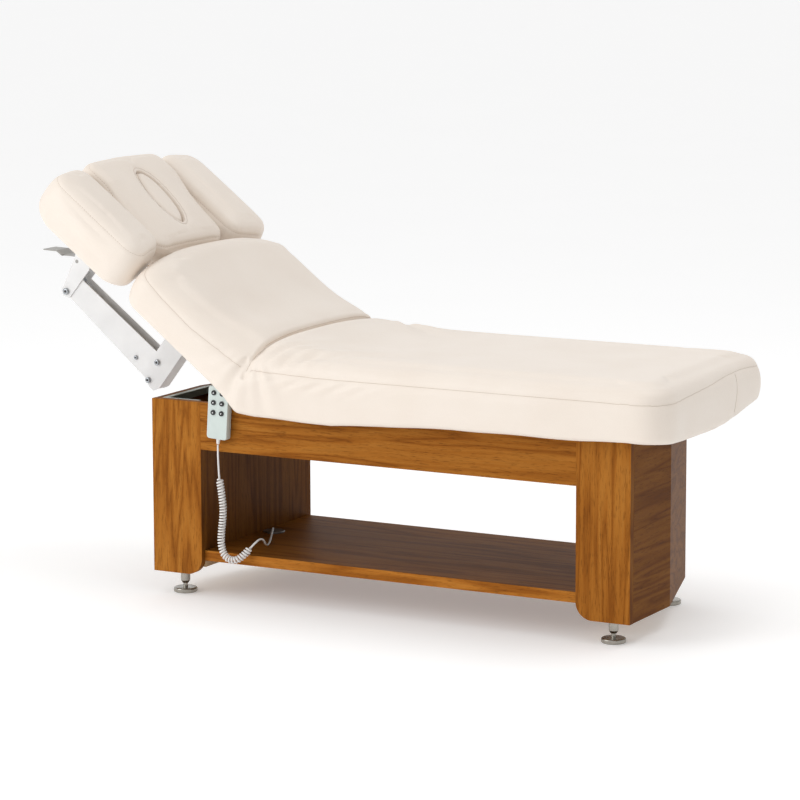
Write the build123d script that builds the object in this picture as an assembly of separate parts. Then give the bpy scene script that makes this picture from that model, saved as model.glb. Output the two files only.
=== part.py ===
from build123d import *
import math
import os

# Facial treatment bed. Millimetres, +Z up, X along the bed (head at -X, foot at +X).
# Everything is drawn about the middle of the wooden base, then moved by BED_SHIFT_X, so that
# the frame's origin lies on the floor under the middle of the whole bed at rest.
BED_SHIFT_X = 204.4

# Wooden base
BASE_LENGTH = 1380.0
BASE_WIDTH = 570.0
RIM_Z = 520.0               # top of the wooden base above the floor
PEDESTAL_BOTTOM_Z = 60.0
PEDESTAL_LENGTH = 148.0     # at the near side
FACET_Y = -46.0             # the end faces are flat up to here, then recede to the far corner
FACET_RECEDE = 105.0
PANEL = 18.0
FRONT_PANEL = 20.0
CORNER_RADIUS = 45.0        # round lower inner corner of the pedestal's front panels
APRON_BOTTOM_Z = 395.0
SHELF_TOP_Z = 125.0
SHELF_THICKNESS = 28.0
SHELF_RECESS = 15.0
INNER_PANEL_TOP_Z = 480.0
RIM_LEDGE = 14.0
RIM_LEG = 22.0
GROMMET_RADIUS = 24.0

# Levelling feet
FOOT_RADIUS = 31.5
NEAR_FOOT = (624.0, -236.0)
FAR_FOOT = (566.0, 226.0)

# Lift columns
COLUMN_X = 598.0
COLUMN_SIZE = (60.0, 96.0)
COLUMN_WALL = 3.0
COLUMN_BASE_Z = 97.0
RAIL_Z = (486.0, 516.0)
RAIL_Y = 110.0
RAIL_END_X = 598.0
RAIL_HALF_WIDTH = 15.0
CROSS_TUBE_Z = 523.0
SECTION_Y = 140.0           # side tubes of the folding sections

# Hinges of the lying surface
HINGE_Z = 540.0
BACK_HINGE_X = -396.0
LEG_HINGE_X = 100.0
BACK_ANGLE = 37.5           # how far the back is raised at rest, degrees
BACK_FOLD = 65.0            # how far it can be raised in all
LEG_FOLD = 25.0
HINGE_PIN_RADIUS = 8.0
RUNNING_GAP = 0.05

# Cushions
HALF_WIDTH = 350.0
SKIRT = 24.0
BOARD_W = (10.0, 22.0)      # boards, measured up from the hinge plane
CUSHION_TOP_W = 114.0
CUSHION_BOTTOM_W = -17.0
BOARD_HALF_WIDTH = HALF_WIDTH - SKIRT - 2
FOOT_END_X = 790.0
FOOT_END_SKEW = 10.0        # the foot end lies this much nearer the hinge at the far side
FOOT_OVERHANG = 30.0        # padding beyond the leg board's end, without its skirt
BACK_END_U = 416.0          # back cushion's length at its sides, from the hinge
BACK_BOW = 54.0             # its head end bows out this much more in the middle
HEAD_GAP = 14.0
HEAD_END_U = 806.0
CENTRE_HALF_WIDTH = 178.0
GROOVE = 5.0
PLUG_LENGTH = 190.0
PLUG_WIDTH = 84.0
PLUG_U = 640.0
HEAD_BOARD_W = (-8.0, 4.0)
HEAD_BOARD_U = (505.0, 748.0)
HEAD_BOARD_HALF_WIDTH = 312.0
CENTRE_SLOPE_U = 575.0      # from here the centre cushion's top falls towards the back cushion
CENTRE_SLOPE = 19.0         # degrees
HEAD_TOP_W = 112.0
HEAD_BOTTOM_W = -14.0
HANDSET_POCKET_U = (30.0, 125.0)    # room under the flat back for the handset on its hook
HANDSET_POCKET_Y = (-322.0, -284.0)
HANDSET_POCKET_W = 38.0

# Headrest arm, in the back's own directions: u towards the head, w up from the hinge plane
ARM_TOP_W = -227.0
ARM_BOTTOM = ((328.0, -311.0), (686.0, -293.0))
ARM_HALF_WIDTH = 21.0
BRACKET_HALF_WIDTH = 25.0
SHEET = 3.0
HEAD_PIVOT = (705.0, -284.0)
BOLTS = ((367.0, -246.0), (360.0, -304.0))
GAS_FOOT = (428.0, -283.0)
GAS_PIN = (712.0, -227.0)
LEVER_PIVOT = (728.0, -196.0)
LEVER_LENGTH = 106.8
LEVER_NECK = 46.0
LEVER_RISE = (13.0, 24.0)   # of the neck and of the hand plate above the lever's pin
LEVER_PIN = 5.0

# Actuators under the seat
LEVER_ARM = 80.0
YOKE_SLACK = 3.0

# Handset and its cord
HANDSET_X = -473.0
HANDSET_BACK_Y = -292.0
HANDSET_Z = (432.0, 570.0)
HANDSET_WIDTH = 60.0
HANDSET_DEPTH = 20.0
HANDSET_TILT = 3.5
BUTTON_RADIUS = 6.5
BUTTON_TRAVEL = 1.0
CORD_DIAMETER = 5.0
COIL_DIAMETER = 20.0
GROMMET = (-505.0, 24.0)

CORD_TOP_ROUTE = [(-478.6, -302, 416), (-479, -302.5, 372), (-474.5, -303, 328)]
COIL_ROUTE = [
    (-474.5, -303, 328), (-467, -304, 288), (-462, -305, 244), (-466.5, -306, 200), (-471, -306, 160),
    (-462, -306, 126), (-438, -304, 112), (-413, -297, 122), (-396, -281, 147),
]
CORD_TAIL_ROUTE = [
    (-395.8, -280.8, 147.4), (-387, -272.5, 160), (-382.5, -254, 168), (-386, -231, 161), (-394, -208, 145),
    (-406, -180, 134), (-420, -150, 130), (-437, -114, 128.4), (-455, -78, 129.5), (-471, -46, 134.5),
    (-484, -20, 141), (-495, 2, 142), (-504, 17, 129),
]

parts = {}


def add(name, shape):
    """Keeps a finished piece under its node name, moved from the base's middle to the bed's."""
    parts[name] = Pos(BED_SHIFT_X, 0, 0) * shape


def block(x, y, z):
    """Box between the given (low, high) pairs."""
    size = [b - a for a, b in (x, y, z)]
    middle = [(a + b) / 2 for a, b in (x, y, z)]
    return Pos(*middle) * Box(*size)


def plate_y(points, y):
    """Prism of an (x, z) outline between two y values."""
    face = make_face(Plane.XZ * Polyline(*points, close=True))
    return Pos(0, y[0], 0) * extrude(face, y[1] - y[0], dir=(0, 1, 0))


def plan(points, z):
    """Prism of an (x, y) outline between two heights."""
    return upright(make_face(Polyline(*points, close=True)), z)


def upright(face, z):
    """Prism of a flat face between two heights."""
    return Pos(0, 0, z[0]) * extrude(face, z[1] - z[0], dir=(0, 0, 1))


def rod_y(x, z, radius, y):
    """Round bar along Y."""
    return Pos(x, (y[0] + y[1]) / 2, z) * Rot(90, 0, 0) * Cylinder(radius, y[1] - y[0])


def in_back(shape):
    """From the flat back section, drawn with its hinge at the origin and u towards -X, to the raised back."""
    return Pos(BACK_HINGE_X, 0, HINGE_Z) * Rot(0, BACK_ANGLE, 0) * shape


def solids(*pieces):
    return Compound([s for p in pieces for s in p.solids()])


def mirror_x(shape):
    return shape.mirror(Plane.YZ)


def mirror_y(shape):
    return shape.mirror(Plane.XZ)


HALF = BASE_LENGTH / 2
NEAR = -BASE_WIDTH / 2
FAR = BASE_WIDTH / 2
INNER = HALF - PEDESTAL_LENGTH
FAR_INNER_Y = FAR - FRONT_PANEL
NEAR_INNER_Y = NEAR + FRONT_PANEL
SLOPE = FACET_RECEDE / (FAR - FACET_Y)
SHELF_BOTTOM_Z = SHELF_TOP_Z - SHELF_THICKNESS


def end_x(y, inset=0.0):
    """X of the base's end at a given y, measured inset millimetres inside its outer face."""
    flat = HALF - inset
    lean = inset * (math.hypot(1, SLOPE) - 1)
    return min(flat, HALF - SLOPE * (y - FACET_Y) - inset - lean)


def end_outline(inset, y_low, y_high):
    """Points along the end face from the near to the far side, inset millimetres inside it."""
    bend = FACET_Y + inset * (math.hypot(1, SLOPE) - 1) * -1 / SLOPE
    return [(end_x(y_low, inset), y_low), (HALF - inset, bend), (end_x(y_high, inset), y_high)]


def pedestal_front_panel():
    panel = block((INNER, HALF), (NEAR, NEAR_INNER_Y), (PEDESTAL_BOTTOM_Z, RIM_Z))
    lower_inner = panel.edges().filter_by(Axis.Y).sort_by(lambda e: e.center().X + e.center().Z)[0]
    return fillet(lower_inner, CORNER_RADIUS)


def pedestal_rear_panel():
    outline = [(INNER, FAR_INNER_Y), (end_x(FAR_INNER_Y), FAR_INNER_Y), (end_x(FAR), FAR), (INNER, FAR)]
    return plan(outline, (PEDESTAL_BOTTOM_Z, RIM_Z))


def pedestal_end_panel():
    outer = end_outline(0, NEAR_INNER_Y, FAR_INNER_Y)
    inner = end_outline(PANEL, NEAR_INNER_Y, FAR_INNER_Y)
    return plan(outer + inner[::-1], (PEDESTAL_BOTTOM_Z, RIM_Z))


def pedestal_inner_panel():
    return block((INNER, INNER + PANEL), (NEAR_INNER_Y, FAR_INNER_Y), (SHELF_BOTTOM_Z, INNER_PANEL_TOP_Z))


def foot_place(near):
    return NEAR_FOOT if near else FAR_FOOT


def pedestal_floor():
    outline = [(INNER, NEAR_INNER_Y)] + end_outline(PANEL, NEAR_INNER_Y, FAR_INNER_Y) + [(INNER, FAR_INNER_Y)]
    floor = plan(outline, (SHELF_BOTTOM_Z - PANEL, SHELF_BOTTOM_Z))
    for near in (True, False):
        x, y = foot_place(near)
        floor -= Pos(x, y, SHELF_BOTTOM_Z) * Cylinder(5 + RUNNING_GAP, 2 * PANEL + 2)
    return floor


def rim_frame():
    """Steel angle round the pedestal's open top: a flat ledge and a downturned leg."""
    width, leg = RIM_LEDGE, RIM_LEG
    outer = end_outline(PANEL, NEAR_INNER_Y, FAR_INNER_Y)
    ledge_in = end_outline(PANEL + width, NEAR_INNER_Y + width, FAR_INNER_Y - width)
    leg_in = end_outline(PANEL + SHEET, NEAR_INNER_Y + SHEET, FAR_INNER_Y - SHEET)
    start = INNER + PANEL

    def ring(inside, z):
        near_y, far_y = inside[0][1], inside[-1][1]
        path = [(start, outer[0][1])] + outer + [(start, outer[-1][1]), (start, far_y)]
        return plan(path + inside[::-1] + [(start, near_y)], z)

    return ring(ledge_in, (RIM_Z - SHEET, RIM_Z)) + ring(leg_in, (RIM_Z - leg, RIM_Z - SHEET))


def make_base():
    makers = {
        "front_panel": pedestal_front_panel, "rear_panel": pedestal_rear_panel,
        "end_panel": pedestal_end_panel, "inner_panel": pedestal_inner_panel,
    }
    for name, maker in makers.items():
        piece = maker()
        add(f"foot_pedestal_{name}", piece)
        add(f"head_pedestal_{name}", mirror_x(piece))
    floor, frame = pedestal_floor(), rim_frame()
    add("pedestal_floors", solids(floor, mirror_x(floor)))
    add("rim_frames", solids(frame, mirror_x(frame)))
    add("near_apron", block((-INNER, INNER), (NEAR, NEAR_INNER_Y), (APRON_BOTTOM_Z, RIM_Z)))
    add("far_apron", block((-INNER, INNER), (FAR_INNER_Y, FAR), (APRON_BOTTOM_Z, RIM_Z)))
    shelf = block((-INNER, INNER), (NEAR + SHELF_RECESS, FAR - SHELF_RECESS), (SHELF_BOTTOM_Z, SHELF_TOP_Z))
    add("shelf", shelf - Pos(*GROMMET, SHELF_TOP_Z) * Cylinder(GROMMET_RADIUS, 2 * SHELF_THICKNESS + 2))


def grommet():
    """Round metal cable port in the shelf, with a slot for the cord."""
    port = Pos(*GROMMET, SHELF_TOP_Z - 12) * Cylinder(GROMMET_RADIUS, 32)
    port += Pos(*GROMMET, SHELF_TOP_Z + 2) * Cylinder(GROMMET_RADIUS + 5, 4)
    port = fillet(port.edges().filter_by(GeomType.CIRCLE).sort_by(Axis.Z)[-1], 1.5)
    return port


def levelling_foot(x, y):
    """Threaded stem on a round disc, turned to level the bed."""
    disc = Cylinder(FOOT_RADIUS, 13, align=(Align.CENTER, Align.CENTER, Align.MIN))
    disc = fillet(disc.edges().filter_by(GeomType.CIRCLE), 4)
    neck = Pos(0, 0, 13) * Cylinder(6, 11, align=(Align.CENTER, Align.CENTER, Align.MIN))
    taper = Pos(0, 0, 24) * Cone(8, 12.5, 7, align=(Align.CENTER, Align.CENTER, Align.MIN))
    stem = Pos(0, 0, 31) * Cylinder(12.5, 46, align=(Align.CENTER, Align.CENTER, Align.MIN))
    thread = Pos(0, 0, 77) * Cylinder(5, 17, align=(Align.CENTER, Align.CENTER, Align.MIN))
    return Pos(x, y, 0) * (disc + neck + taper + stem + thread)


def make_feet():
    for end, side in (("head", -1), ("foot", 1)):
        for near in (True, False):
            x, y = foot_place(near)
            add(f"levelling_foot_{end}_{'near' if near else 'far'}", levelling_foot(side * x, y))


def tube(size, wall, z):
    outer = block((-size[0] / 2, size[0] / 2), (-size[1] / 2, size[1] / 2), z)
    outer = fillet(outer.edges().filter_by(Axis.Z), 8)
    inner_size = (size[0] - 2 * wall, size[1] - 2 * wall)
    inner = block((-inner_size[0] / 2, inner_size[0] / 2), (-inner_size[1] / 2, inner_size[1] / 2),
                  (z[0] - 1, z[1] + 1))
    return outer - fillet(inner.edges().filter_by(Axis.Z), 8 - wall)


def make_columns():
    """Telescopic lift columns: outer tube with glide collar on the base, inner tube under the seat rails."""
    outer = tube(COLUMN_SIZE, COLUMN_WALL, (COLUMN_BASE_Z, 462))
    inner_size = (COLUMN_SIZE[0] - 12, COLUMN_SIZE[1] - 12)
    inner = tube(inner_size, COLUMN_WALL, (COLUMN_BASE_Z + 14, RAIL_Z[0] - 4))
    rail_edge = RAIL_Y + RAIL_HALF_WIDTH
    inner += block((-30, 0), (-rail_edge, rail_edge), (RAIL_Z[0] - 4, RAIL_Z[0]))
    inner += block((-26, 26), (-46, 46), (RAIL_Z[0] - 4, RAIL_Z[0]))
    collar_in = (inner_size[0] / 2 + 0.4, inner_size[1] / 2 + 0.4)
    collar = block((-34, 34), (-52, 52), (462, 472))
    collar -= block((-collar_in[0], collar_in[0]), (-collar_in[1], collar_in[1]), (460, 474))
    for name, piece in (("column_outer_tubes", outer), ("glide_collars", collar), ("column_inner_tubes", inner)):
        right = Pos(COLUMN_X, 0, 0) * piece
        add(name, solids(right, mirror_x(right)))


def hinge_eye(x, z, y):
    return rod_y(x, z, 16, y) - rod_y(x, z, HINGE_PIN_RADIUS + RUNNING_GAP, (y[0] - 1, y[1] + 1))


def make_seat():
    rail_y = (RAIL_Y - RAIL_HALF_WIDTH, RAIL_Y + RAIL_HALF_WIDTH)
    frame = block((-RAIL_END_X, RAIL_END_X), rail_y, RAIL_Z)
    frame += mirror_y(frame)
    for x in (BACK_HINGE_X + 60, -150, LEG_HINGE_X - 60):
        frame += block((x - 15, x + 15), (-300, 300), (CROSS_TUBE_Z, HINGE_Z + BOARD_W[0]))
        frame += block((x - 15, x + 15), (-rail_y[1], rail_y[1]), (RAIL_Z[1] - 12, CROSS_TUBE_Z))
    for x in (BACK_HINGE_X, LEG_HINGE_X):
        lug = block((x - 15, x + 15), (RAIL_Y - 12, RAIL_Y + 12), (RAIL_Z[1], HINGE_Z))
        lug += rod_y(x, HINGE_Z, 15, (RAIL_Y - 12, RAIL_Y + 12))
        lug -= rod_y(x, HINGE_Z, HINGE_PIN_RADIUS, (RAIL_Y - 14, RAIL_Y + 14))
        frame += lug + mirror_y(lug)
    add("seat_frame", frame)
    pins = [rod_y(x, HINGE_Z, HINGE_PIN_RADIUS, (RAIL_Y - 12, SECTION_Y + 12)) for x in (BACK_HINGE_X, LEG_HINGE_X)]
    add("hinge_pins", solids(*pins, *[mirror_y(p) for p in pins]))
    board_z = (HINGE_Z + BOARD_W[0], HINGE_Z + BOARD_W[1])
    board_x = (BACK_HINGE_X + 36, LEG_HINGE_X - 16)
    add("seat_board", block(board_x, (-BOARD_HALF_WIDTH, BOARD_HALF_WIDTH), board_z))
    cushion = block((BACK_HINGE_X, LEG_HINGE_X), (-HALF_WIDTH, HALF_WIDTH),
                    (HINGE_Z + CUSHION_BOTTOM_W, HINGE_Z + CUSHION_TOP_W))
    cushion -= block((BACK_HINGE_X - 1, LEG_HINGE_X + 1), (-HALF_WIDTH + SKIRT, HALF_WIDTH - SKIRT),
                     (HINGE_Z - 30, HINGE_Z + BOARD_W[1]))
    cushion -= wedge(BACK_HINGE_X, 1, BACK_FOLD) + wedge(LEG_HINGE_X, -1, LEG_FOLD)
    add("seat_cushion", cushion)


def wedge(hinge_x, side, fold, z=HINGE_Z):
    """Space a cushion leaves at a hinge so that its neighbour can fold up against it."""
    reach, slack = 160.0, 4.0
    lean = math.tan(math.radians(fold / 2 + 1)) * reach
    away = hinge_x - side * 40
    foot = hinge_x + side * slack
    outline = [(away, z - 60), (foot, z - 60), (foot, z), (foot + side * lean, z + reach), (away, z + reach)]
    return plate_y(outline, (-500, 500))


def side_frame(length, y):
    """Side tube of a folding section, with its hinge eye, drawn towards -X from the origin."""
    bar = block((-length, -12), (y - 10, y + 10), (-10, 10)) + rod_y(0, 0, 16, (y - 10, y + 10))
    return bar - rod_y(0, 0, HINGE_PIN_RADIUS + RUNNING_GAP, (y - 12, y + 12))


def section_frame(length, crossings, lever_y, lever_angle):
    """Welded frame of a folding section with the lever that its actuator pushes."""
    frame = side_frame(length, SECTION_Y) + side_frame(length, -SECTION_Y)
    for u in crossings:
        frame += block((-u - 10, -u + 10), (-250, 250), (-10, 10))
    pin = (LEVER_ARM * math.sin(math.radians(lever_angle)), -LEVER_ARM * math.cos(math.radians(lever_angle)))
    arm = [(-58, -10), (-34, -10), (pin[0] + 9, pin[1] - 6), (pin[0] - 9, pin[1] - 6)]
    for y in (lever_y - 16, lever_y + 16):
        frame += plate_y(arm, (y - 3, y + 3))
    return frame + rod_y(pin[0], pin[1], 6, (lever_y - 19, lever_y + 19))


def cushion_end_arc(u_side, bow, half_width):
    """Arc across the bed, bowed towards the head in the middle."""
    return ThreePointArc((-u_side, -half_width), (-u_side - bow, 0), (-u_side, half_width))


def handset_pocket():
    near_u, far_u = HANDSET_POCKET_U
    return block((-far_u, -near_u), HANDSET_POCKET_Y, (-40, HANDSET_POCKET_W))


def back_cushion():
    rim = cushion_end_arc(BACK_END_U, BACK_BOW, HALF_WIDTH)
    sides = Polyline((-BACK_END_U, HALF_WIDTH), (0, HALF_WIDTH), (0, -HALF_WIDTH), (-BACK_END_U, -HALF_WIDTH))
    body = upright(make_face([rim, sides]), (CUSHION_BOTTOM_W, CUSHION_TOP_W))
    corners = body.edges().filter_by(Axis.Z).filter_by(lambda e: e.center().X < -100)
    body = fillet(corners, 45)
    body -= block((-BACK_END_U + SKIRT, 1), (-HALF_WIDTH + SKIRT, HALF_WIDTH - SKIRT), (-40, BOARD_W[1]))
    body -= handset_pocket()
    return body - wedge(0, -1, BACK_FOLD, 0)


def make_back():
    add("back_frame", in_back(section_frame(370, (60, 215, 360), -60, 32.5) + arm_socket()))
    board = block((-BACK_END_U + SKIRT + 2, -36), (-BOARD_HALF_WIDTH, BOARD_HALF_WIDTH), BOARD_W)
    add("back_board", in_back(board - handset_pocket()))
    add("back_cushion", in_back(back_cushion()))
    add("arm_bracket", in_back(arm_bracket()))
    add("head_arm", in_back(head_arm()))
    add("headrest_bolts", in_back(headrest_bolts()))


def arm_socket():
    """Short cross plate of the back frame that the arm bracket is welded to."""
    return block((-388, -316), (-BRACKET_HALF_WIDTH, BRACKET_HALF_WIDTH), (-14, -10)) + block(
        (-336, -316), (-SECTION_Y, SECTION_Y), (-10, 10))


def arm_bracket():
    """Folded steel channel that hangs below the back frame and holds the headrest arm."""
    u0, u1, w0 = 321.0, 388.0, -318.0
    side = [(-u0, -14), (-u1, -14), (-u1, w0 + 22), (-u1 + 8, w0 + 14), (-u1 + 42, w0), (-u0 - 9, w0 + 1), (-u0, w0 + 17)]
    bracket = plate_y(side, (BRACKET_HALF_WIDTH - SHEET, BRACKET_HALF_WIDTH))
    bracket += mirror_y(bracket)
    for u, w in BOLTS:
        bracket -= rod_y(-u, w, 5, (-40, 40))
    return bracket + block((-u0 - SHEET, -u0), (-BRACKET_HALF_WIDTH, BRACKET_HALF_WIDTH), (w0 + 17, -14))


def head_arm():
    """Channel open towards the cushion, with the gas spring lying in it."""
    (foot_u, foot_w), (head_u, head_w) = ARM_BOTTOM
    pivot_u, pivot_w = HEAD_PIVOT
    outline = [(-foot_u, ARM_TOP_W), (-pivot_u + 15, ARM_TOP_W), (-pivot_u - 10, ARM_TOP_W - 28),
               (-pivot_u - 14, pivot_w + 4), (-pivot_u - 7, pivot_w - 10), (-pivot_u + 11, pivot_w - 12),
               (-head_u, head_w), (-foot_u, foot_w)]
    side = plate_y(outline, (ARM_HALF_WIDTH - SHEET, ARM_HALF_WIDTH))
    arm = side + mirror_y(side)
    floor = [(-foot_u, foot_w), (-head_u, head_w), (-head_u, head_w + SHEET), (-foot_u, foot_w + SHEET)]
    arm += plate_y(floor, (-ARM_HALF_WIDTH, ARM_HALF_WIDTH))
    for u, w in BOLTS:
        arm -= rod_y(-u, w, 5, (-40, 40))
    arm -= rod_y(-HEAD_PIVOT[0], HEAD_PIVOT[1], 6, (-40, 40))
    return arm - rod_y(-GAS_FOOT[0], GAS_FOOT[1], 4, (-40, 40))


def bolt(u, w, radius, half_width, head, head_height):
    shank = rod_y(-u, w, radius, (-half_width, half_width))
    top = rod_y(-u, w, head, (-half_width - head_height, -half_width))
    return shank + top + mirror_y(top)


def headrest_bolts():
    pieces = [bolt(u, w, 5, BRACKET_HALF_WIDTH, 8, 5) for u, w in BOLTS]
    pieces.append(bolt(*HEAD_PIVOT, 6, BRACKET_HALF_WIDTH + 0.5, 9, 5))
    pieces.append(bolt(*GAS_FOOT, 4, ARM_HALF_WIDTH, 6, 3))
    return solids(*pieces)


def head_bracket():
    """Two side plates that turn on the arm's end, with the flange under the head board."""
    u, w = HEAD_PIVOT
    outline = [(-u + 18, w - 6), (-u - 12, w - 12), (-u - 17, w + 6), (-u - 36, -190), (-u - 84, -12),
               (-u - 36, -12), (-u + 21, -190)]
    gap = 0.5
    inner, outer = ARM_HALF_WIDTH + gap, BRACKET_HALF_WIDTH
    side = plate_y(outline, (inner, outer)) + rod_y(-u, w, 17, (inner, outer))
    side -= rod_y(-u, w, 6 + RUNNING_GAP, (-40, 40))
    side -= rod_y(-LEVER_PIVOT[0], LEVER_PIVOT[1], LEVER_PIN + RUNNING_GAP, (-40, 40))
    flange = block((-HEAD_BOARD_U[1] + 4, -u + 20), (-150, 150), (-12, -8))
    rails = [block((-u - 40, -HEAD_BOARD_U[0] - 10), (y - 12, y + 12), (-12, -8)) for y in (-95, 95)]
    bracket = side + mirror_y(side) + flange + rails[0] + rails[1]
    return bracket + rod_y(-GAS_PIN[0], GAS_PIN[1], 4, (-outer, outer))


def head_outline(y_low, y_high):
    """Plan of a head cushion between two y values: arcs at both ends."""
    start_u = BACK_END_U + HEAD_GAP

    def lower(y):
        return start_u + BACK_BOW * (1 - (y / HALF_WIDTH) ** 2)

    def upper(y):
        return HEAD_END_U - 26 * (y / HALF_WIDTH) ** 2

    middle = (y_low + y_high) / 2
    low_arc = ThreePointArc((-lower(y_low), y_low), (-lower(middle), middle), (-lower(y_high), y_high))
    high_arc = ThreePointArc((-upper(y_high), y_high), (-upper(middle), middle), (-upper(y_low), y_low))
    return make_face([low_arc, Line((-lower(y_high), y_high), (-upper(y_high), y_high)), high_arc,
                      Line((-upper(y_low), y_low), (-lower(y_low), y_low))])


def oval(length, width, w):
    return upright(Pos(-PLUG_U, 0) * Ellipse(length / 2, width / 2), w)


def head_cushion(y_low, y_high):
    body = upright(head_outline(y_low, y_high), (HEAD_BOARD_W[1], HEAD_TOP_W))
    if abs(y_low) != abs(y_high):
        outer_y = y_low if y_low < 0 else y_high
        edges = body.edges().filter_by(Axis.Z).filter_by(lambda e: abs(e.center().Y - outer_y) < 1)
        body = fillet(edges, 40)
        skirt_y = (outer_y, outer_y + SKIRT) if outer_y < 0 else (outer_y - SKIRT, outer_y)
        body += block((-730, -475), skirt_y, (HEAD_BOTTOM_W, HEAD_BOARD_W[1]))
    return body


def make_head():
    board = block((-HEAD_BOARD_U[1], -HEAD_BOARD_U[0]), (-HEAD_BOARD_HALF_WIDTH, HEAD_BOARD_HALF_WIDTH), HEAD_BOARD_W)
    board = fillet(board.edges().filter_by(Axis.Z), 30)
    add("head_board", in_back(board - oval(PLUG_LENGTH - 20, PLUG_WIDTH - 20, (-30, 30))))
    inner = CENTRE_HALF_WIDTH
    fall = math.tan(math.radians(CENTRE_SLOPE)) * 200
    above = [(-CENTRE_SLOPE_U, HEAD_TOP_W), (-CENTRE_SLOPE_U, HEAD_TOP_W + 20), (-CENTRE_SLOPE_U + 200, HEAD_TOP_W + 20),
             (-CENTRE_SLOPE_U + 200, HEAD_TOP_W - fall)]
    centre = head_cushion(-inner, inner) - oval(PLUG_LENGTH + 2, PLUG_WIDTH + 2, (-30, 200))
    centre -= plate_y(above, (-HALF_WIDTH, HALF_WIDTH))
    add("centre_head_cushion", in_back(centre))
    add("near_head_cushion", in_back(head_cushion(-HALF_WIDTH, -inner - GROOVE)))
    add("far_head_cushion", in_back(head_cushion(inner + GROOVE, HALF_WIDTH)))
    add("face_hole_plug", in_back(oval(PLUG_LENGTH, PLUG_WIDTH, (HEAD_BOARD_W[1] + 0.3, HEAD_TOP_W - 2))))
    add("head_bracket", in_back(head_bracket()))
    add("release_lever", in_back(release_lever()))
    cylinder, rod = gas_spring()
    add("gas_spring_cylinder", in_back(cylinder))
    add("gas_spring_rod", in_back(rod))


def release_lever():
    """Bent plate that the hand squeezes, on a cross pin between the bracket's plates."""
    u, w = LEVER_PIVOT
    low, high = LEVER_RISE
    bend = LEVER_NECK + 18
    neck = [(3, -3), (3, 3), (-5, low + 1.5), (-LEVER_NECK, low + 1.5), (-LEVER_NECK, low - 1.5), (-8, low - 1.5), (-5, -3)]
    hand = [(-LEVER_NECK, low + 1.5), (-bend, high + 1.5), (-LEVER_LENGTH, high + 1.5), (-LEVER_LENGTH, high - 1.5),
            (-bend, high - 1.5), (-LEVER_NECK, low - 1.5)]
    plate = plate_y(neck, (-ARM_HALF_WIDTH + 1, ARM_HALF_WIDTH - 1)) + plate_y(hand, (-30, 30))
    pin = rod_y(0, 0, LEVER_PIN, (-BRACKET_HALF_WIDTH, BRACKET_HALF_WIDTH))
    return Pos(-u, 0, w) * Rot(0, -BACK_ANGLE + 2, 0) * (plate + pin)


def gas_spring():
    """Locking gas spring: cylinder pivoted on the arm, rod eye loose round the bracket's pin."""
    du, dw = GAS_PIN[0] - GAS_FOOT[0], GAS_PIN[1] - GAS_FOOT[1]
    length, angle = math.hypot(du, dw), math.degrees(math.atan2(dw, du))
    body = rod_y(0, 0, 9, (-7, 7)) - rod_y(0, 0, 4 + RUNNING_GAP, (-8, 8))
    body += Pos(-88, 0, 0) * Rot(0, 90, 0) * Cylinder(9, 160)
    body -= Pos(-120, 0, 0) * Rot(0, 90, 0) * Cylinder(4.3, 110)
    body -= rod_y(0, 0, 4 + RUNNING_GAP, (-8, 8))
    rod = Pos(-(length + 100) / 2, 0, 0) * Rot(0, 90, 0) * Cylinder(4, length - 112)
    rod += rod_y(-length, 0, 11, (-7, 7))
    rod -= rod_y(-length, 0, 7.5, (-8, 8))
    lean = Pos(-GAS_FOOT[0], 0, GAS_FOOT[1]) * Rot(0, angle, 0)
    return lean * body, lean * rod


def leg_cushion():
    outer = HALF_WIDTH
    end = FOOT_END_X - LEG_HINGE_X
    outline = [(0, -outer), (end, -outer), (end, 0), (end - FOOT_END_SKEW, outer), (0, outer)]
    body = plan(outline, (CUSHION_BOTTOM_W, CUSHION_TOP_W))
    corners = body.edges().filter_by(Axis.Z).filter_by(lambda e: e.center().X > end / 2 and abs(e.center().Y) > 100)
    body = fillet(corners, 62)
    hollow_end = end - SKIRT - FOOT_OVERHANG
    body -= block((-1, hollow_end), (-outer + SKIRT, outer - SKIRT), (-40, BOARD_W[1]))
    return body - wedge(0, 1, LEG_FOLD, 0)


def make_leg():
    at_hinge = Pos(LEG_HINGE_X, 0, HINGE_Z)
    frame = mirror_x(section_frame(560, (60, 225, 390, 550), 60, 12.5))
    add("leg_frame", at_hinge * frame)
    board_end = FOOT_END_X - LEG_HINGE_X - SKIRT - FOOT_OVERHANG - 2
    board = block((16, board_end), (-BOARD_HALF_WIDTH, BOARD_HALF_WIDTH), BOARD_W)
    add("leg_board", at_hinge * board)
    add("leg_cushion", at_hinge * leg_cushion())


def actuator(tube_start, tube_end, bore_end, hanger, z):
    """Spindle drive: outer tube with its motor housing, hung from one of the seat's cross tubes."""
    body = Pos(tube_start, 0, z) * Rot(0, 90, 0) * Cylinder(
        20, tube_end - tube_start, align=(Align.CENTER, Align.CENTER, Align.MIN))
    body += block((tube_end, tube_end + 70), (-26, 26), (z - 30, z + 30))
    body += block((hanger, hanger + 10), (-8, 8), (z + 30, RAIL_Z[1] - 12))
    body -= Pos(tube_start - 5, 0, z) * Rot(0, 90, 0) * Cylinder(
        11, bore_end - tube_start + 5, align=(Align.CENTER, Align.CENTER, Align.MIN))
    return body


def actuator_rod(pin_x, rod_end, z_low, z_high):
    """Push rod with an upright slotted yoke round the lever's pin."""
    z = (z_low + z_high) / 2
    yoke = block((pin_x - 18, pin_x + 18), (-9, 9), (z_low - 18, z_high + 18))
    slot = 6 + YOKE_SLACK
    yoke -= block((pin_x - slot, pin_x + slot), (-10, 10), (z_low - slot, z_high + slot))
    return yoke + Pos(pin_x + 17, 0, z) * Rot(0, 90, 0) * Cylinder(
        10, rod_end - pin_x - 17, align=(Align.CENTER, Align.CENTER, Align.MIN))


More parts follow.
